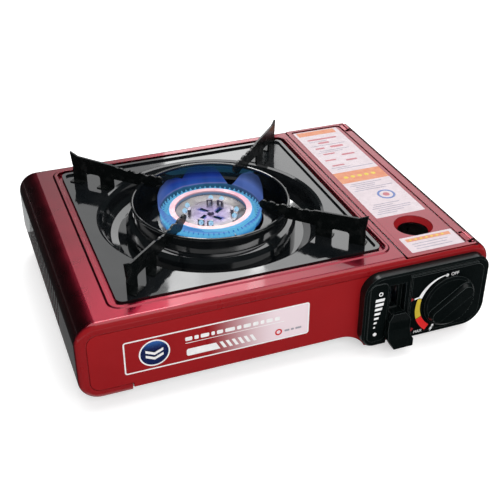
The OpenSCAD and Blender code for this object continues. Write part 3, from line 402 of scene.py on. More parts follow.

# ---------------------------------------------------------------------------
# Pan supports: four arms stamped from thick sheet, in the same enamel but thinner and
# duller, with a fine speckle.
arm_enamel = Finish("arm_enamel", (0.004, 0.005, 0.005), rough=0.22, ior=1.4)
speckle = arm_enamel.span(arm_enamel.noise(160.0, 4.0), 0.0, 1.0, 0.5, 0.75)
arm_enamel.tint(arm_enamel.blend(speckle, (0.003, 0.004, 0.004), (0.010, 0.011, 0.011)))
arm_enamel.wander(110.0, 4.0, 0.18, 0.30)
arm_enamel.relief(260.0, 3.0, 0.00006, 0.5)
dress(arm_enamel, "support_arm_front_left", "support_arm_front_right",
      "support_arm_back_right", "support_arm_back_left")

# ---------------------------------------------------------------------------
# Cast pieces: burner bowl with its mixing tube, and the regulator's casting.
# Die-cast aluminium, blasted, a little darker where the flame has stained it.
casting = Finish("cast_alloy", (0.55, 0.55, 0.56), rough=0.45, metal=1.0)
casting.tint(casting.mottled(45.0, 5.0, (0.46, 0.46, 0.47), (0.62, 0.62, 0.63)))
casting.wander(150.0, 4.0, 0.38, 0.58)
casting.relief(1100.0, 3.0, 0.00006, 0.6)
dress(casting, "burner_body", "regulator_body")

# ---------------------------------------------------------------------------
# Burner head: a ring cast in the same alloy, with a port at each tooth of its edge. Its
# face has a painted pink glow and its side a painted cyan glow, standing for the port
# flames' light in both its colour and its emission; lower down the painted glow is a faint blue.
BURNER_X, BURNER_Y, HEAD_Z = 147.0, 131.0, 81.0
HEAD_SIDE = (0.0350, 0.0362)
head = Finish("burner_head_alloy", (0.60, 0.58, 0.58), rough=0.5, metal=0.6)
# painted glow: the face's pink and the side's cyan stand for the port flames' light
glow_face_mask = head.span(head.axis("Z"), 0.0, 1.0, (HEAD_Z - 2.0) / 1000, (HEAD_Z - 0.4) / 1000)
rim_side = head.span(head.distance(BURNER_X, BURNER_Y), 0.0, 1.0, *HEAD_SIDE)
face = head.mottled(22.0, 1.0, (0.62, 0.36, 0.42), (0.62, 0.48, 0.45))
head.tint(head.blend(rim_side, head.blend(glow_face_mask, (0.30, 0.33, 0.42), face), (0.20, 0.40, 0.55)))
head.wander(140.0, 4.0, 0.4, 0.6)
head.relief(900.0, 3.0, 0.00005, 0.5)
# painted glow: the head emits these colours, though it is no lamp
painted_glow = head.blend(rim_side, head.blend(glow_face_mask, (0.02, 0.10, 0.22), (0.55, 0.25, 0.30)), (0.06, 0.42, 0.75))
wire(head.tree, painted_glow, head.shader.inputs["Emission Color"])
head.shader.inputs["Emission Strength"].default_value = 0.55
dress(head, "burner_head")

# ---------------------------------------------------------------------------
# Dish inside the head: thin pressed steel, heat-stained, with a painted violet light of
# the flames towards its middle and four dark blades of painted shade from its middle out to
# its openings.
BLADES, BLADE_TURN = 4.0, math.radians(-120.0)
BLADE_START, BLADE_END = (0.0045, 0.0075), (0.0125, 0.0160)
dish = Finish("burner_steel", (0.36, 0.33, 0.37), rough=0.32, metal=0.85)
radius = dish.distance(BURNER_X, BURNER_Y)
across, along = dish.offset(BURNER_X, BURNER_Y)
angle = node(dish.tree, "ShaderNodeMath", operation="ARCTAN2")
wire(dish.tree, along, angle.inputs[0])
wire(dish.tree, across, angle.inputs[1])
turned = node(dish.tree, "ShaderNodeMath", operation="MULTIPLY_ADD")
wire(dish.tree, angle.outputs[0], turned.inputs[0])
turned.inputs[1].default_value, turned.inputs[2].default_value = BLADES, BLADE_TURN
wave = node(dish.tree, "ShaderNodeMath", operation="COSINE")
wire(dish.tree, turned.outputs[0], wave.inputs[0])
# painted shade: four navy blades round the middle stand for the dark of the dish's openings
reach = dish.times(dish.span(radius, 0.0, 1.0, *BLADE_START), dish.span(radius, 1.0, 0.0, *BLADE_END))
painted_blade_shade = dish.times(dish.span(wave.outputs[0], 0.0, 1.0, 0.55, 0.85), reach)
stained = dish.mottled(120.0, 5.0, (0.36, 0.34, 0.33), (0.27, 0.255, 0.27))
# painted light: violet towards the middle stands for the flames' light on the dish
painted_violet_light = dish.blend(dish.span(radius, 0.0, 1.0, 0.008, 0.026), (0.22, 0.18, 0.31), stained)
dish.tint(dish.blend(painted_blade_shade, painted_violet_light, (0.035, 0.045, 0.20)))
dish.wander(220.0, 4.0, 0.25, 0.45)
dish.relief(380.0, 4.0, 0.00006, 0.5)
dress(dish, "burner_dish")

# ---------------------------------------------------------------------------
# Igniter: glazed ceramic sleeve, bare wire tip and silicone lead.
# The hinge pins and the screws are of the same bright drawn wire as the tip.
ceramic = Finish("white_ceramic", (0.80, 0.77, 0.70), rough=0.18)
ceramic.tint(ceramic.mottled(200.0, 3.0, (0.82, 0.79, 0.72), (0.72, 0.68, 0.61)))
ceramic.wander(80.0, 3.0, 0.12, 0.28)
dress(ceramic, "igniter_ceramic")

wire_steel = Finish("steel_wire", (0.56, 0.56, 0.58), rough=0.3, metal=1.0)
wire_steel.tint(wire_steel.mottled(300.0, 3.0, (0.48, 0.48, 0.50), (0.64, 0.64, 0.66)))
wire_steel.wander(500.0, 2.0, 0.22, 0.4, wire_steel.stretched((1, 8, 1)))
dress(wire_steel, "igniter_tip", "hinge_pins", "panel_screws")

sleeve = Finish("wire_sleeve", (0.76, 0.74, 0.68), rough=0.45)
sleeve.tint(sleeve.mottled(150.0, 3.0, (0.78, 0.76, 0.70), (0.68, 0.66, 0.60)))
sleeve.relief(1200.0, 2.0, 0.00003, 0.4)
dress(sleeve, "ignition_wire")

# ---------------------------------------------------------------------------
# Gas train: yellow-passivated regulator cover, pressed from sheet, and the brass jet and
# valve shaft, turned from bar.
passivated = Finish("passivated_zinc", (0.60, 0.50, 0.26), rough=0.3, metal=1.0)
passivated.tint(passivated.mottled(60.0, 4.0, (0.62, 0.50, 0.22), (0.52, 0.52, 0.40)))
passivated.wander(130.0, 3.0, 0.22, 0.42)
dress(passivated, "regulator_cover")

brass = Finish("brass", (0.72, 0.52, 0.20), rough=0.25, metal=1.0)
brass.tint(brass.mottled(180.0, 4.0, (0.74, 0.54, 0.21), (0.60, 0.43, 0.17)))
brass.wander(600.0, 3.0, 0.18, 0.36, brass.stretched((1, 10, 1)))
dress(brass, "gas_jet", "valve_shaft")

# ---------------------------------------------------------------------------
# Controls: panel, knob, locking lever and piezo case, moulded in black plastic with a
# fine spark-eroded grain. Their edges carry a painted highlight: the colour turns paler
# where the eased edges would catch the light.
plastic = Finish("black_plastic", (0.004, 0.005, 0.005), rough=0.24, ior=1.28)
plastic.ease(0.0005)
moulded = plastic.mottled(30.0, 3.0, (0.002, 0.0035, 0.0035), (0.004, 0.006, 0.006))
# painted highlight: paler colour along the edges where they would catch the light
plastic.tint(plastic.painted_edge_highlight(moulded, (0.075, 0.085, 0.085)))
plastic.wander(1500.0, 2.0, 0.16, 0.26)
plastic.relief(2200.0, 2.0, 0.00002, 0.2)
dress(plastic, "control_panel", "knob", "lock_lever", "piezo_igniter")


# ---------------------------------------------------------------------------
# Front label: a screen-printed frame with a badge and stripes, on the front plate.
# The print is generic; its right end fades from the red of the case to white.
def weld(mesh):
    """Merges the points that meet at seams and poles, and drops the flat faces there."""
    work = bmesh.new()
    work.from_mesh(mesh)
    bmesh.ops.remove_doubles(work, verts=work.verts, dist=2e-7)
    bmesh.ops.dissolve_degenerate(work, edges=work.edges, dist=1e-8)
    work.to_mesh(mesh)
    work.free()


def piece(name, shells, finish, body):
    """One mesh of closed shells. A shell is a grid of points, m rings of n points, that
    closes round its rings; its first and last rings have shrunk to a point or meet."""
    points, faces, start = [], [], 0
    for grid in shells:
        m, n = grid.shape[:2]
        i, k = np.arange(m - 1)[:, None] * n, np.arange(n)
        quads = np.stack([i + k, i + (k + 1) % n, i + n + (k + 1) % n, i + n + k], -1).reshape(-1, 4)
        flat = grid.reshape(-1, 3)
        a, b, c, d = (flat[quads[:, q]] for q in range(4))
        volume = np.einsum("ij,ij->i", a, np.cross(b, c)).sum() + np.einsum("ij,ij->i", a, np.cross(c, d)).sum()
        if volume < 0:
            quads = quads[:, ::-1]
        points.append(flat)
        faces.append(quads + start)
        start += m * n
    mesh = bpy.data.meshes.new(name)
    mesh.from_pydata(np.concatenate(points).tolist(), [], np.concatenate(faces).tolist())
    made = bpy.data.objects.new(name, mesh)
    bpy.context.scene.collection.objects.link(made)
    weld(mesh)
    mesh.materials.append(finish.material)
    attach(made, body)


def printed(outline, lay, thick=0.08):
    """A thin closed pad: a closed outline of (u, v) points, drawn in to its centre on the
    upper and lower face. lay turns u, v and the height h into frame metres."""
    middle = outline.mean(0)
    ring = [(0.0, thick), (0.97, thick), (1.0, 0.0), (0.0, 0.0)]
    return np.stack([lay(*(middle + (outline - middle) * s).T, h) for s, h in ring])


def stroke(inner, outer, lay, thick=0.08):
    """A thin closed band between two closed outlines with as many points each."""
    ring = [(inner, 0.0), (inner, thick), (outer, thick), (outer, 0.0), (inner, 0.0)]
    return np.stack([lay(*line.T, h) for line, h in ring])


def rounded(u0, v0, u1, v1, r, steps=8):
    """Outline of a rectangle with corner radius r, anticlockwise: a quarter circle round
    the centre of each corner."""
    a = np.linspace(0, math.pi / 2, steps)
    corners = [(u1 - r, v1 - r, 0), (u0 + r, v1 - r, 1), (u0 + r, v0 + r, 2), (u1 - r, v0 + r, 3)]
    return np.concatenate([np.stack([u + r * np.cos(a + q * math.pi / 2), v + r * np.sin(a + q * math.pi / 2)], -1)
                           for u, v, q in corners])


def disc(u, v, r, steps=40):
    """Outline of a circle of radius r round u, v."""
    a = np.arange(steps) * 2 * math.pi / steps
    return np.stack([u + r * np.cos(a), v + r * np.sin(a)], -1)


def slanted(u0, u1, v0, v1, lean):
    """Outline of a bar from u0 to u1 and v0 to v1 whose foot stands lean further right."""
    return np.array([(u0 + lean, v0), (u1 + lean, v0), (u1, v1), (u0, v1)])


def on_front(u, v, h):
    """Frame metres for u across and v up the front plate, h off its face."""
    return np.stack([u - ORIGIN_X, np.full_like(u, -ORIGIN_Y) - h, v], -1) / 1000.0


def ink(name, colour, second=None, rough=0.35):
    """A flat printing ink: its colour varies a little, as a screen print's does."""
    made = Finish(name, colour, rough=rough)
    made.tint(made.mottled(220.0, 3.0, colour, second or tuple(c * 0.9 for c in colour)))
    made.wander(90.0, 3.0, rough - 0.06, rough + 0.08)
    return made


def front_print(name, shells, finish):
    """A printed piece of the front plate."""
    piece(name, shells, finish, "case")


FRAME_X0, FRAME_X1, FRAME_Z0, FRAME_Z1 = 34.6, 183.3, 29.8, 59.8
FRAME_WIDTH, FADE_X0, FADE_INSET, FADE_START, FADE_END = 1.1, 98.0, 0.4, 97.0, 160.0
white_ink = ink("white_ink", (0.86, 0.85, 0.85))
fade_ink = Finish("fade_ink", (0.8, 0.7, 0.7), rough=0.2)
fade = fade_ink.span(fade_ink.axis("X"), 0.0, 1.0, at(FADE_START, 0, 0)[0], at(FADE_END, 0, 0)[0])
fade_ink.tint(fade_ink.blend(fade, (0.275, 0.008, 0.0105), (0.80, 0.67, 0.71)))
fade_ink.wander(60.0, 4.0, 0.10, 0.2)
field = rounded(FADE_X0, FRAME_Z0 + FADE_INSET, FRAME_X1 - FADE_INSET, FRAME_Z1 - FADE_INSET, 1.5)
front_print("front_label_fade", [printed(field, on_front, 0.05)], fade_ink)
rim = [stroke(rounded(FRAME_X0 + FRAME_WIDTH, FRAME_Z0 + FRAME_WIDTH, FRAME_X1 - FRAME_WIDTH,
                      FRAME_Z1 - FRAME_WIDTH, 1.2),
              rounded(FRAME_X0, FRAME_Z0, FRAME_X1, FRAME_Z1, 2.2), on_front)]

# a bar with rounded left corners and six stripes after it, all with the same lean
BAR_X0, BAR_X1, BAR_Z0, BAR_Z1 = 82.8, 106.5, 34.6, 41.2
BAR_LEAN, STRIPE_X, STRIPE_PITCH, STRIPE_WIDTH = 3.6, 108.8, 4.9, 2.6
long_bar = np.array([(84.2, BAR_Z0), (BAR_X1 + BAR_LEAN, BAR_Z0), (BAR_X1, BAR_Z1), (84.2, BAR_Z1),
                     (83.2, BAR_Z1 - 0.6), (BAR_X0, BAR_Z1 - 1.6), (BAR_X0, BAR_Z0 + 1.6), (83.2, BAR_Z0 + 0.6)])
bars = [printed(long_bar, on_front)]
bars += [printed(slanted(u, u + STRIPE_WIDTH, BAR_Z0, BAR_Z1, BAR_LEAN), on_front)
         for u in STRIPE_X + np.arange(6) * STRIPE_PITCH]
# a plain broken line in place of words, with a rule under it
line_u = 82.0 + np.cumsum([0.0, 7.2, 5.0, 8.4, 4.4, 6.6, 9.6, 5.2, 7.8, 6.2, 4.8, 7.0])
line_w = np.array([5.6, 3.4, 6.8, 2.8, 5.0, 8.0, 3.6, 6.2, 4.6, 3.2, 5.4, 4.4])
bars += [printed(rounded(u, 48.9, u + w, 52.4, 0.9, 4), on_front) for u, w in zip(line_u, line_w)]
bars += [printed(rounded(82.0, 46.6, 163.0, 47.1, 0.2, 3), on_front)]
front_print("front_label_print", rim + bars, white_ink)

# a round badge with two chevrons
BADGE_X, BADGE_Z = 58.0, 44.8
BADGE_RIM, BADGE_INNER, BADGE_FIELD = 12.0, 10.9, 11.0
CHEVRON_HALF, CHEVRON_DROP, CHEVRON_THICK = 7.0, 3.2, 2.4
navy_ink = Finish("navy_ink", (0.008, 0.016, 0.085), rough=0.25)
upper = navy_ink.span(navy_ink.axis("Z"), 0.0, 1.0, 0.048, 0.058)
navy_ink.tint(navy_ink.blend(upper, (0.007, 0.014, 0.075), (0.03, 0.13, 0.42)))
navy_ink.wander(90.0, 3.0, 0.2, 0.32)
badge_rim = stroke(disc(BADGE_X, BADGE_Z, BADGE_INNER), disc(BADGE_X, BADGE_Z, BADGE_RIM), on_front, 0.12)
front_print("front_badge_rim", [badge_rim], white_ink)
front_print("front_badge_field", [printed(disc(BADGE_X, BADGE_Z, BADGE_FIELD), on_front, 0.1)], navy_ink)


def chevron(z):
    """Outline of a chevron that points down, with the lower corners of its arms at z."""
    x0, x1 = BADGE_X - CHEVRON_HALF, BADGE_X + CHEVRON_HALF
    return np.array([(x0, z), (BADGE_X, z - CHEVRON_DROP), (x1, z), (x1, z + CHEVRON_THICK),
                     (BADGE_X, z - CHEVRON_DROP + CHEVRON_THICK), (x0, z + CHEVRON_THICK)])


front_print("front_badge_chevrons", [printed(chevron(z), on_front, 0.14) for z in (46.0, 41.6)], white_ink)
red_ink = ink("red_ink", (0.62, 0.012, 0.016))
front_print("front_label_dot", [stroke(disc(157.6, 37.4, 1.7), disc(157.6, 37.4, 3.0), on_front, 0.12)], red_ink)
grey_ink = ink("grey_ink", (0.33, 0.32, 0.36))
front_print("front_label_dashes", [printed(rounded(u, 36.6, u + w, 38.4, 0.5, 3), on_front, 0.12)
                                   for u, w in ((162.6, 4.2), (168.0, 2.6), (171.8, 5.2))], grey_ink)


# ---------------------------------------------------------------------------
# Lid labels: two paper labels, glued to the lid behind and in front of its round hole. The
# back one has two orange bands; lines, boxes and a ring stand in for its print.
LID_FACE = 79.2


def on_lid(u, v, h):
    """Frame metres for u across and v back on the lid, h above its pressed field."""
    return np.stack([u - ORIGIN_X, v - ORIGIN_Y, np.full_like(u, LID_FACE) + h], -1) / 1000.0


def lid_print(name, shells, finish):
    """A printed piece of the lid."""
    piece(name, shells, finish, "canister_lid")


def boxes(outlines, radius, steps, thick=0.16):
    """Printed boxes on the lid, each u0, v0, u1, v1, with the given corner radius."""
    return [printed(rounded(*box, radius, steps), on_lid, thick) for box in outlines]


paper = ink("label_paper", (0.555, 0.475, 0.505), rough=0.3)
orange_ink = ink("orange_ink", (0.52, 0.16, 0.07), (0.56, 0.22, 0.10))
pink_ink = ink("pink_ink", (0.44, 0.13, 0.16))
pale_ink = ink("pale_ink", (0.26, 0.24, 0.31))
blue_ink = ink("blue_ink", (0.09, 0.15, 0.38))
yellow_ink = ink("yellow_ink", (0.62, 0.46, 0.03))
LABEL_X0, LABEL_X1 = 274.5, 322.0
BACK_DOTS_Y, FRONT_DOTS_Y = 143.7, 25.8
RING_X, RING_Y = 303.0, 103.0
ROW_X, ROW_STEP, ROW_PITCH, ROW_DEPTH = 278.0, 2.2, 3.2, 0.9
lid_print("lid_label_back", boxes([(LABEL_X0, 67.0, LABEL_X1, 248.0)], 1.2, 8, 0.1), paper)
lid_print("lid_label_front", boxes([(276.0, 8.0, 325.0, 31.0)], 1.0, 8, 0.1), paper)
bands = [(LABEL_X0 + 2, 237.5, LABEL_X1 - 4, 246.5), (LABEL_X0, 133.0, LABEL_X1, 154.5), (279.5, 23.5, 321.5, 28.0)]
lid_print("lid_label_bands", boxes(bands, 0.4, 3), orange_ink)
dots = [printed(disc(u, BACK_DOTS_Y, 2.3, 20), on_lid, 0.2) for u in np.arange(283.0, 316.0, 7.0)]
dots += [printed(disc(u, FRONT_DOTS_Y, 1.2, 20), on_lid, 0.2) for u in np.arange(284.0, 319.0, 5.0)]
lid_print("lid_label_dots", dots, yellow_ink)
pinks = [(281, 226, 313, 229), (289, 217, 301, 220.5), (297, 206, 311, 210), (281, 206, 291, 209),
         (283, 193, 296, 195.5), (300, 187, 314, 190), (279, 180, 291, 182.5), (299, 175, 311, 178),
         (281, 168, 294, 170.5)]
lid_print("lid_label_pinks", boxes(pinks, 1.2, 4), pink_ink)
# rows start at three places in turn and have four lengths, with three more on the front label
row_groups = [np.arange(low, high, ROW_PITCH) for low, high in ((72.0, 90.0), (116.0, 130.0), (161.0, 166.0),
                                                                (198.0, 204.0))]
rows = []
for i, v in enumerate(np.concatenate(row_groups + [[213.0, 222.5]])):
    start = ROW_X + ROW_STEP * (i % 3)
    rows.append((start, v, start + 20 + 6 * ((i * 5) % 4), v + ROW_DEPTH))
rows += [(282.0, v, 316.0 - 3 * (i % 2), v + 0.8) for i, v in enumerate((12.0, 15.6, 19.2))]
lid_print("lid_label_lines", boxes(rows, 0.3, 3, 0.15), pale_ink)
lid_print("lid_label_ring", [stroke(disc(RING_X, RING_Y, 6.2), disc(RING_X, RING_Y, 8.2), on_lid, 0.16)], blue_ink)
lid_print("lid_label_drop", [printed(disc(RING_X, RING_Y, 3.2), on_lid, 0.16)], pink_ink)


# ---------------------------------------------------------------------------
# Control marks: pad-printed on the black moulding, with seven bars beside the lever and the
# flame scale round the knob on the dial plate, white for off, yellow for low and red for high.
RIDGE, PAD_STEP = 0.6, 0.2
dial_face = -ORIGIN_Y - (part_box("control_panel")[0].y * 1000.0 + RIDGE)


def on_dial(u, v, h):
    """Frame metres for u across and v up the dial plate, h off its face."""
    return np.stack([u - ORIGIN_X, np.full_like(u, -ORIGIN_Y - dial_face) - h, v], -1) / 1000.0


def on_pad(u, v, h):
    """The same on the lever's pad, which lies further back by PAD_STEP."""
    return on_dial(u, v, h - PAD_STEP)


def control_print(name, shells, finish):
    """A printed piece of the control panel."""
    piece(name, shells, finish, "case")


DIAL_X, DIAL_Z = 303.4, 39.4
OFF_ARC, LOW_ARC, HIGH_ARC = (99.6, 164.5), (166.0, 203.0), (203.8, 232.5)


def arc(a0, a1, inner, outer, steps=40):
    """The two sides of a strip round the knob from angle a0 to a1 in degrees; the inner and
    the outer radius each change evenly from their first to their second number."""
    a = np.radians(np.linspace(a0, a1, steps))
    r0, r1 = np.linspace(*inner, steps), np.linspace(*outer, steps)
    near = np.stack([DIAL_X + r0 * np.cos(a), DIAL_Z + r0 * np.sin(a)], -1)
    far = np.stack([DIAL_X + r1 * np.cos(a), DIAL_Z + r1 * np.sin(a)], -1)
    return near, far


def strip(near, far, lay, thick=0.08):
    """A thin closed strip between two lines of points: its section is carried along them,
    and its ends shrink to points."""
    ring = np.stack([lay(*line.T, h) for line, h in ((near, 0.0), (near, thick), (far, thick), (far, 0.0))], 1)
    ends = [np.repeat(ring[k].mean(0)[None, None], 4, 1) for k in (0, -1)]
    return np.concatenate([ends[0], ring, ends[1]], 0)


mark_white = ink("mark_white", (0.88, 0.88, 0.88))
tick = np.array([(271.2, 46.6), (275.6, 47.4), (275.4, 48.7), (271.0, 47.9)])
spark = np.array([(289.6, 14.2), (287.6, 11.6), (289.0, 11.6), (288.2, 9.2), (290.9, 12.2), (289.5, 12.2)])
stem = np.array([(290.9, 15.6), (289.6, 13.4), (290.2, 13.1), (291.4, 15.3)])
scale = [strip(*arc(*OFF_ARC, (25.4, 26.4), (26.0, 29.8)), on_dial), printed(disc(299.1, 64.2, 1.5, 24), on_dial),
         printed(tick, on_dial), printed(disc(291.2, 16.6, 1.1, 20), on_dial),
         printed(spark + [0.6, 1.6], on_dial), printed(stem, on_dial)]

# seven bars that get shorter and thinner down the pad, between a ring and a dot
BAR_X, BAR_TOP, BAR_PITCH = 236.0, 54.0, 4.35
widths = (8.0, 7.4, 6.4, 5.2, 4.0, 2.6, 1.4)
heights = (2.7, 2.6, 2.4, 2.2, 2.0, 1.8, 1.6)
for k, (width, height) in enumerate(zip(widths, heights)):
    z = BAR_TOP - BAR_PITCH * k
    scale.append(printed(slanted(BAR_X, BAR_X + width, z - height / 2, z + height / 2, -0.5), on_pad))
scale += [stroke(disc(240.0, 59.6, 1.1, 20), disc(240.0, 59.6, 1.9, 20), on_pad),
          printed(disc(237.6, 20.8, 1.7, 20), on_pad)]
control_print("control_marks_white", scale, mark_white)
low_strip = strip(*arc(*LOW_ARC, (26.4, 26.5), (30.0, 31.6)), on_dial)
control_print("control_marks_yellow", [low_strip], yellow_ink)
signal_red = ink("signal_red", (0.80, 0.012, 0.012))
high_strip = strip(*arc(*HIGH_ARC, (26.5, 26.5), (31.7, 32.3)), on_dial)
control_print("control_marks_red", [high_strip], signal_red)
dark_red = ink("dark_red_ink", (0.30, 0.008, 0.016))
arrows = [printed(np.array([(268.2, 49.2), (270.6, 47.4), (268.2, 45.6)]), on_dial),
          printed(np.array([(270.8, 19.2), (273.2, 17.4), (270.8, 15.0)]), on_dial)]
control_print("control_marks_dark_red", arrows, dark_red)

LETTER_HALF = 0.04


def lettering(name, words, size, u, v):
    """Raised flat letters for the two ends of the scale, read from the front: the font's x
    and y run right and up from u, v, and its thickness stands off the dial plate."""
    curve = bpy.data.curves.new(name, "FONT")
    curve.body, curve.size, curve.extrude = words, size, LETTER_HALF
    holder = bpy.data.objects.new(name + "_curve", curve)
    bpy.context.scene.collection.objects.link(holder)
    bpy.context.view_layer.update()
    mesh = bpy.data.meshes.new_from_object(holder.evaluated_get(bpy.context.evaluated_depsgraph_get()))
    bpy.data.objects.remove(holder)
    flat = np.zeros(len(mesh.vertices) * 3)
    mesh.vertices.foreach_get("co", flat)
    flat = flat.reshape(-1, 3)
    mesh.vertices.foreach_set("co", on_dial(u + flat[:, 0], v + flat[:, 1], flat[:, 2] + LETTER_HALF).ravel())
    mesh.materials.clear()
    mesh.materials.append(mark_white.material)
    made = bpy.data.objects.new(name, mesh)
    bpy.context.scene.collection.objects.link(made)
    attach(made, "case")


lettering("control_word_off", "OFF", 4.2, 302.6, 63.0)
lettering("control_word_max", "MAX", 3.6, 273.6, 12.6)


# ---------------------------------------------------------------------------
# Flame curtain: the thin blue veil of burning gas that stands round the burner's head.
# It rises in lobes between the support arms and is low and nearly clear behind them.
SIDE_MOST, SIDE_REACH = 0.8, (0.020, 0.042)


def glow(name, strength, stops, grain, streak, sides=None):
    """Light that shows what is behind it. stops are rows of height in millimetres, colour
    and cover. Streaks, a noise of a scale and an upright stretch, take the cover down to
    the share grain. sides is a paler colour towards the left and right of the burner."""
    made = Finish(name, stops[0][1])
    tree = made.tree
    tree.nodes.remove(made.shader)
    low, high = stops[0][0], stops[-1][0]
    ramp = node(tree, "ShaderNodeValToRGB")
    wire(tree, made.span(made.axis("Z"), 0.0, 1.0, low / 1000, high / 1000), ramp.inputs["Fac"])
    marks = ramp.color_ramp.elements
    while len(marks) < len(stops):
        marks.new(0.5)
    for mark, (z, tone, cover) in zip(marks, stops):
        mark.position, mark.color = (z - low) / (high - low), (*tone, cover)
    light = node(tree, "ShaderNodeEmission", in_Strength=strength)
    colour = ramp.outputs["Color"]
    if sides:
        wide = node(tree, "ShaderNodeMath", operation="ABSOLUTE")
        wire(tree, made.offset(BURNER_X, BURNER_Y)[0], wide.inputs[0])
        colour = made.blend(made.span(wide.outputs[0], 0.0, SIDE_MOST, *SIDE_REACH), colour, sides)
    wire(tree, colour, light.inputs["Color"])
    clear = node(tree, "ShaderNodeBsdfTransparent")
    mix = node(tree, "ShaderNodeMixShader")
    strands = made.span(made.noise(streak[0], 3.0, made.stretched((1.0, 1.0, streak[1]))), grain, 1.0, 0.35, 0.65)
    wire(tree, made.times(strands, ramp.outputs["Alpha"]), mix.inputs[0])
    wire(tree, clear.outputs[0], mix.inputs[1])
    wire(tree, light.outputs[0], mix.inputs[2])
    wire(tree, mix.outputs[0], tree.nodes["Material Output"].inputs["Surface"])
    return made


# each lobe's centre and half width in degrees, and its height
LOBES = ((82.0, 27.0, 22.5), (135.0, 42.0, 17.5), (10.0, 32.0, 24.0), (195.0, 30.0, 14.0), (222.0, 30.0, 9.5),
         (250.0, 30.0, 6.5), (332.0, 25.0, 13.0), (308.0, 25.0, 8.0))
BETWEEN_LOBES = 4.0


def flame_wall(profile, steps=288):
    """A closed thin wall round the burner. profile is rows of radius, height and share of
    the flame's own height, out and back. That height is the largest of the lobes, each
    h * exp(-((a - centre) / width) ** 4) in degrees, with a slight ripple."""
    a = np.arange(steps) * 360.0 / steps
    tall = np.full(steps, BETWEEN_LOBES)
    for centre, width, high in LOBES:
        tall = np.maximum(tall, high * np.exp(-(((a - centre + 180) % 360 - 180) / width) ** 4))
    tall *= 1 + 0.03 * np.sin(np.radians(9 * a)) + 0.02 * np.sin(np.radians(23 * a))
    a = np.radians(a)
    x, y = BURNER_X - ORIGIN_X, BURNER_Y - ORIGIN_Y
    rows = [np.stack([x + r * np.cos(a), y + r * np.sin(a), z0 + share * tall], -1) for r, z0, share in profile]
    return np.stack(rows + rows[:1]) / 1000.0


def flame_piece(name, shells, finish):
    """A piece of flame, which stays with the burner in the case."""
    piece(name, shells, finish, "case")


curtain_stops = ((75.0, (0.11, 0.46, 0.80), 0.06), (79.5, (0.08, 0.34, 0.76), 0.16),
                 (80.6, (0.26, 0.26, 0.68), 0.4), (81.6, (0.04, 0.13, 0.56), 0.38),
                 (90.0, (0.012, 0.045, 0.33), 0.5), (99.0, (0.006, 0.014, 0.12), 0.12))
curtain_glow = glow("flame_blue", 1.0, curtain_stops, 0.75, (70.0, 0.1), (0.13, 0.22, 0.60))
wall = [(41.0, 76.0, 0.0), (43.0, 77.0, 0.15), (44.6, 77.0, 0.4), (45.2, 77.0, 0.7), (45.3, 77.0, 1.0),
        (44.7, 77.0, 1.0), (44.4, 77.0, 0.7), (43.8, 77.0, 0.4), (42.2, 77.0, 0.15), (40.4, 76.0, 0.0)]
flame_piece("flame_curtain", [flame_wall(wall)], curtain_glow)

# ---------------------------------------------------------------------------
# Port flames: a bright cyan collar round the head's side, and on it one flame at each of
# the sixty ports, with a dash of painted shade, dark blue, in the gap beside each.
PORTS, PORT_ANGLE = 60, 6.0
port_stops = ((73.0, (0.03, 0.14, 0.60), 0.30), (75.5, (0.09, 0.42, 0.78), 0.55), (79.6, (0.17, 0.56, 0.84), 0.70))
port_glow = glow("flame_cyan", 0.85, port_stops, 0.55, (420.0, 1.0))
collar = [(37.3, 79.4, 0.0), (39.4, 79.2, 0.0), (41.4, 78.2, 0.0), (43.2, 76.4, 0.0), (44.4, 74.0, 0.0),
          (43.6, 73.6, 0.0), (42.0, 75.6, 0.0), (40.0, 77.0, 0.0), (38.2, 77.6, 0.0)]
flame_piece("port_collar", [flame_wall(collar)], port_glow)


def round_burner(a, r, side, z):
    """Frame metres for r out from the burner's axis at angle a, side to the left of that
    and the height z."""
    return at(0, 0, 0) + np.stack([BURNER_X + r * math.cos(a) - side * math.sin(a),
                                   BURNER_Y + r * math.sin(a) + side * math.cos(a), z], -1) / 1000.0


def petal(a, rings=8, spokes=8):
    """The flame of one port at angle a: its centre runs out and up by the share t, its
    half width is 1.7 * sin(pi t) ** 0.5 and its half thickness 1.2 * sin(pi t) ** 0.5."""
    t = np.linspace(0, 1, rings)[:, None]
    b = np.arange(spokes) * 2 * math.pi / spokes
    bulge = np.sin(math.pi * t) ** 0.5
    r = 38.6 + 5.2 * t ** 0.7 + 1.2 * bulge * np.cos(b)
    return round_burner(a, r, 1.7 * bulge * np.sin(b), 73.6 + 5.6 * t ** 2 + 0 * b)


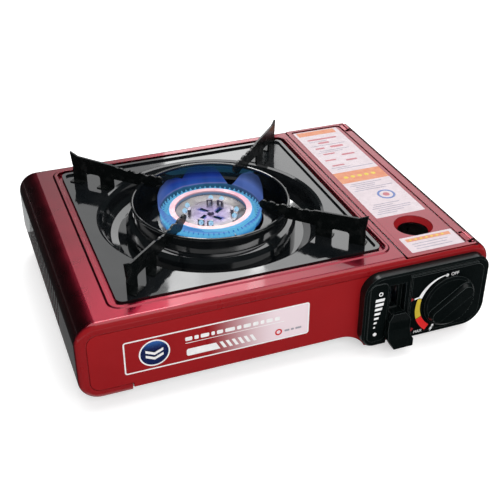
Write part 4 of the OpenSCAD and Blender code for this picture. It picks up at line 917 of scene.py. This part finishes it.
def dash(a, rings=5, spokes=6):
    """A dash of painted shade in the gap beside one port's flame, at angle a, half as long and
    wide as the flame: its half width is 0.75 * sin(pi t) ** 0.5 and its half height 0.3 * sin(pi t) ** 0.5."""
    t = np.linspace(0, 1, rings)[:, None]
    b = np.arange(spokes) * 2 * math.pi / spokes
    bulge = np.sin(math.pi * t) ** 0.5
    return round_burner(a, 39.6 + 2.6 * t, 0.75 * bulge * np.sin(b), 79.7 - 1.4 * t + 0.3 * bulge * np.cos(b))


flame_piece("port_flames", [petal(math.radians(PORT_ANGLE * i)) for i in range(PORTS)], port_glow)
dash_stops = ((78.0, (0.02, 0.10, 0.42), 0.55), (80.0, (0.02, 0.12, 0.45), 0.55))
dash_glow = glow("flame_dashes", 1.0, dash_stops, 0.7, (420.0, 1.0))
# painted shade: dark blue dashes in the gaps between the port flames
flame_piece("port_gap_shade", [dash(math.radians(PORT_ANGLE * (i + 0.5))) for i in range(PORTS)], dash_glow)

# ---------------------------------------------------------------------------
# Dish flames: four pairs of small round flames that stand over the dish's openings.
# Each is pale blue round a dark core, which sits a little nearer the middle.
DISH_FLAME_Z, FLAME_RADIUS, CORE_RADIUS = 76.2, 22.4, 21.4


def puff(a, r, wide, tall, rings=10, spokes=14):
    """A small round flame at angle a and radius r: its half width is
    wide * sin(pi t) ** 0.7 * (1 - 0.3 t) at tall * t above DISH_FLAME_Z."""
    t = np.linspace(0, 1, rings)[:, None]
    b = np.arange(spokes) * 2 * math.pi / spokes
    half = wide * np.sin(math.pi * t) ** 0.7 * (1 - 0.3 * t)
    u, v, z = BURNER_X + r * math.cos(a), BURNER_Y + r * math.sin(a), DISH_FLAME_Z + tall * t + 0 * b
    return at(0, 0, 0) + np.stack([u + half * np.cos(b), v + half * np.sin(b), z], -1) / 1000.0


pairs = np.radians([137.0, 162.0, 71.0, 46.0, -16.0, -44.0, -130.0, -108.0])
puff_stops = ((76.5, (0.42, 0.60, 0.85), 0.85), (81.0, (0.28, 0.66, 0.90), 0.4))
puff_glow = glow("flame_puffs", 1.1, puff_stops, 0.75, (500.0, 1.0))
flame_piece("dish_flames", [puff(a, FLAME_RADIUS, 2.5, 5.4) for a in pairs], puff_glow)
core_stops = ((76.5, (0.004, 0.01, 0.05), 0.95), (79.0, (0.02, 0.08, 0.25), 0.7))
core_glow = glow("flame_cores", 1.0, core_stops, 0.9, (500.0, 1.0))
flame_piece("dish_flame_cores", [puff(a, CORE_RADIUS, 0.85, 2.6, 8, 10) for a in pairs], core_glow)
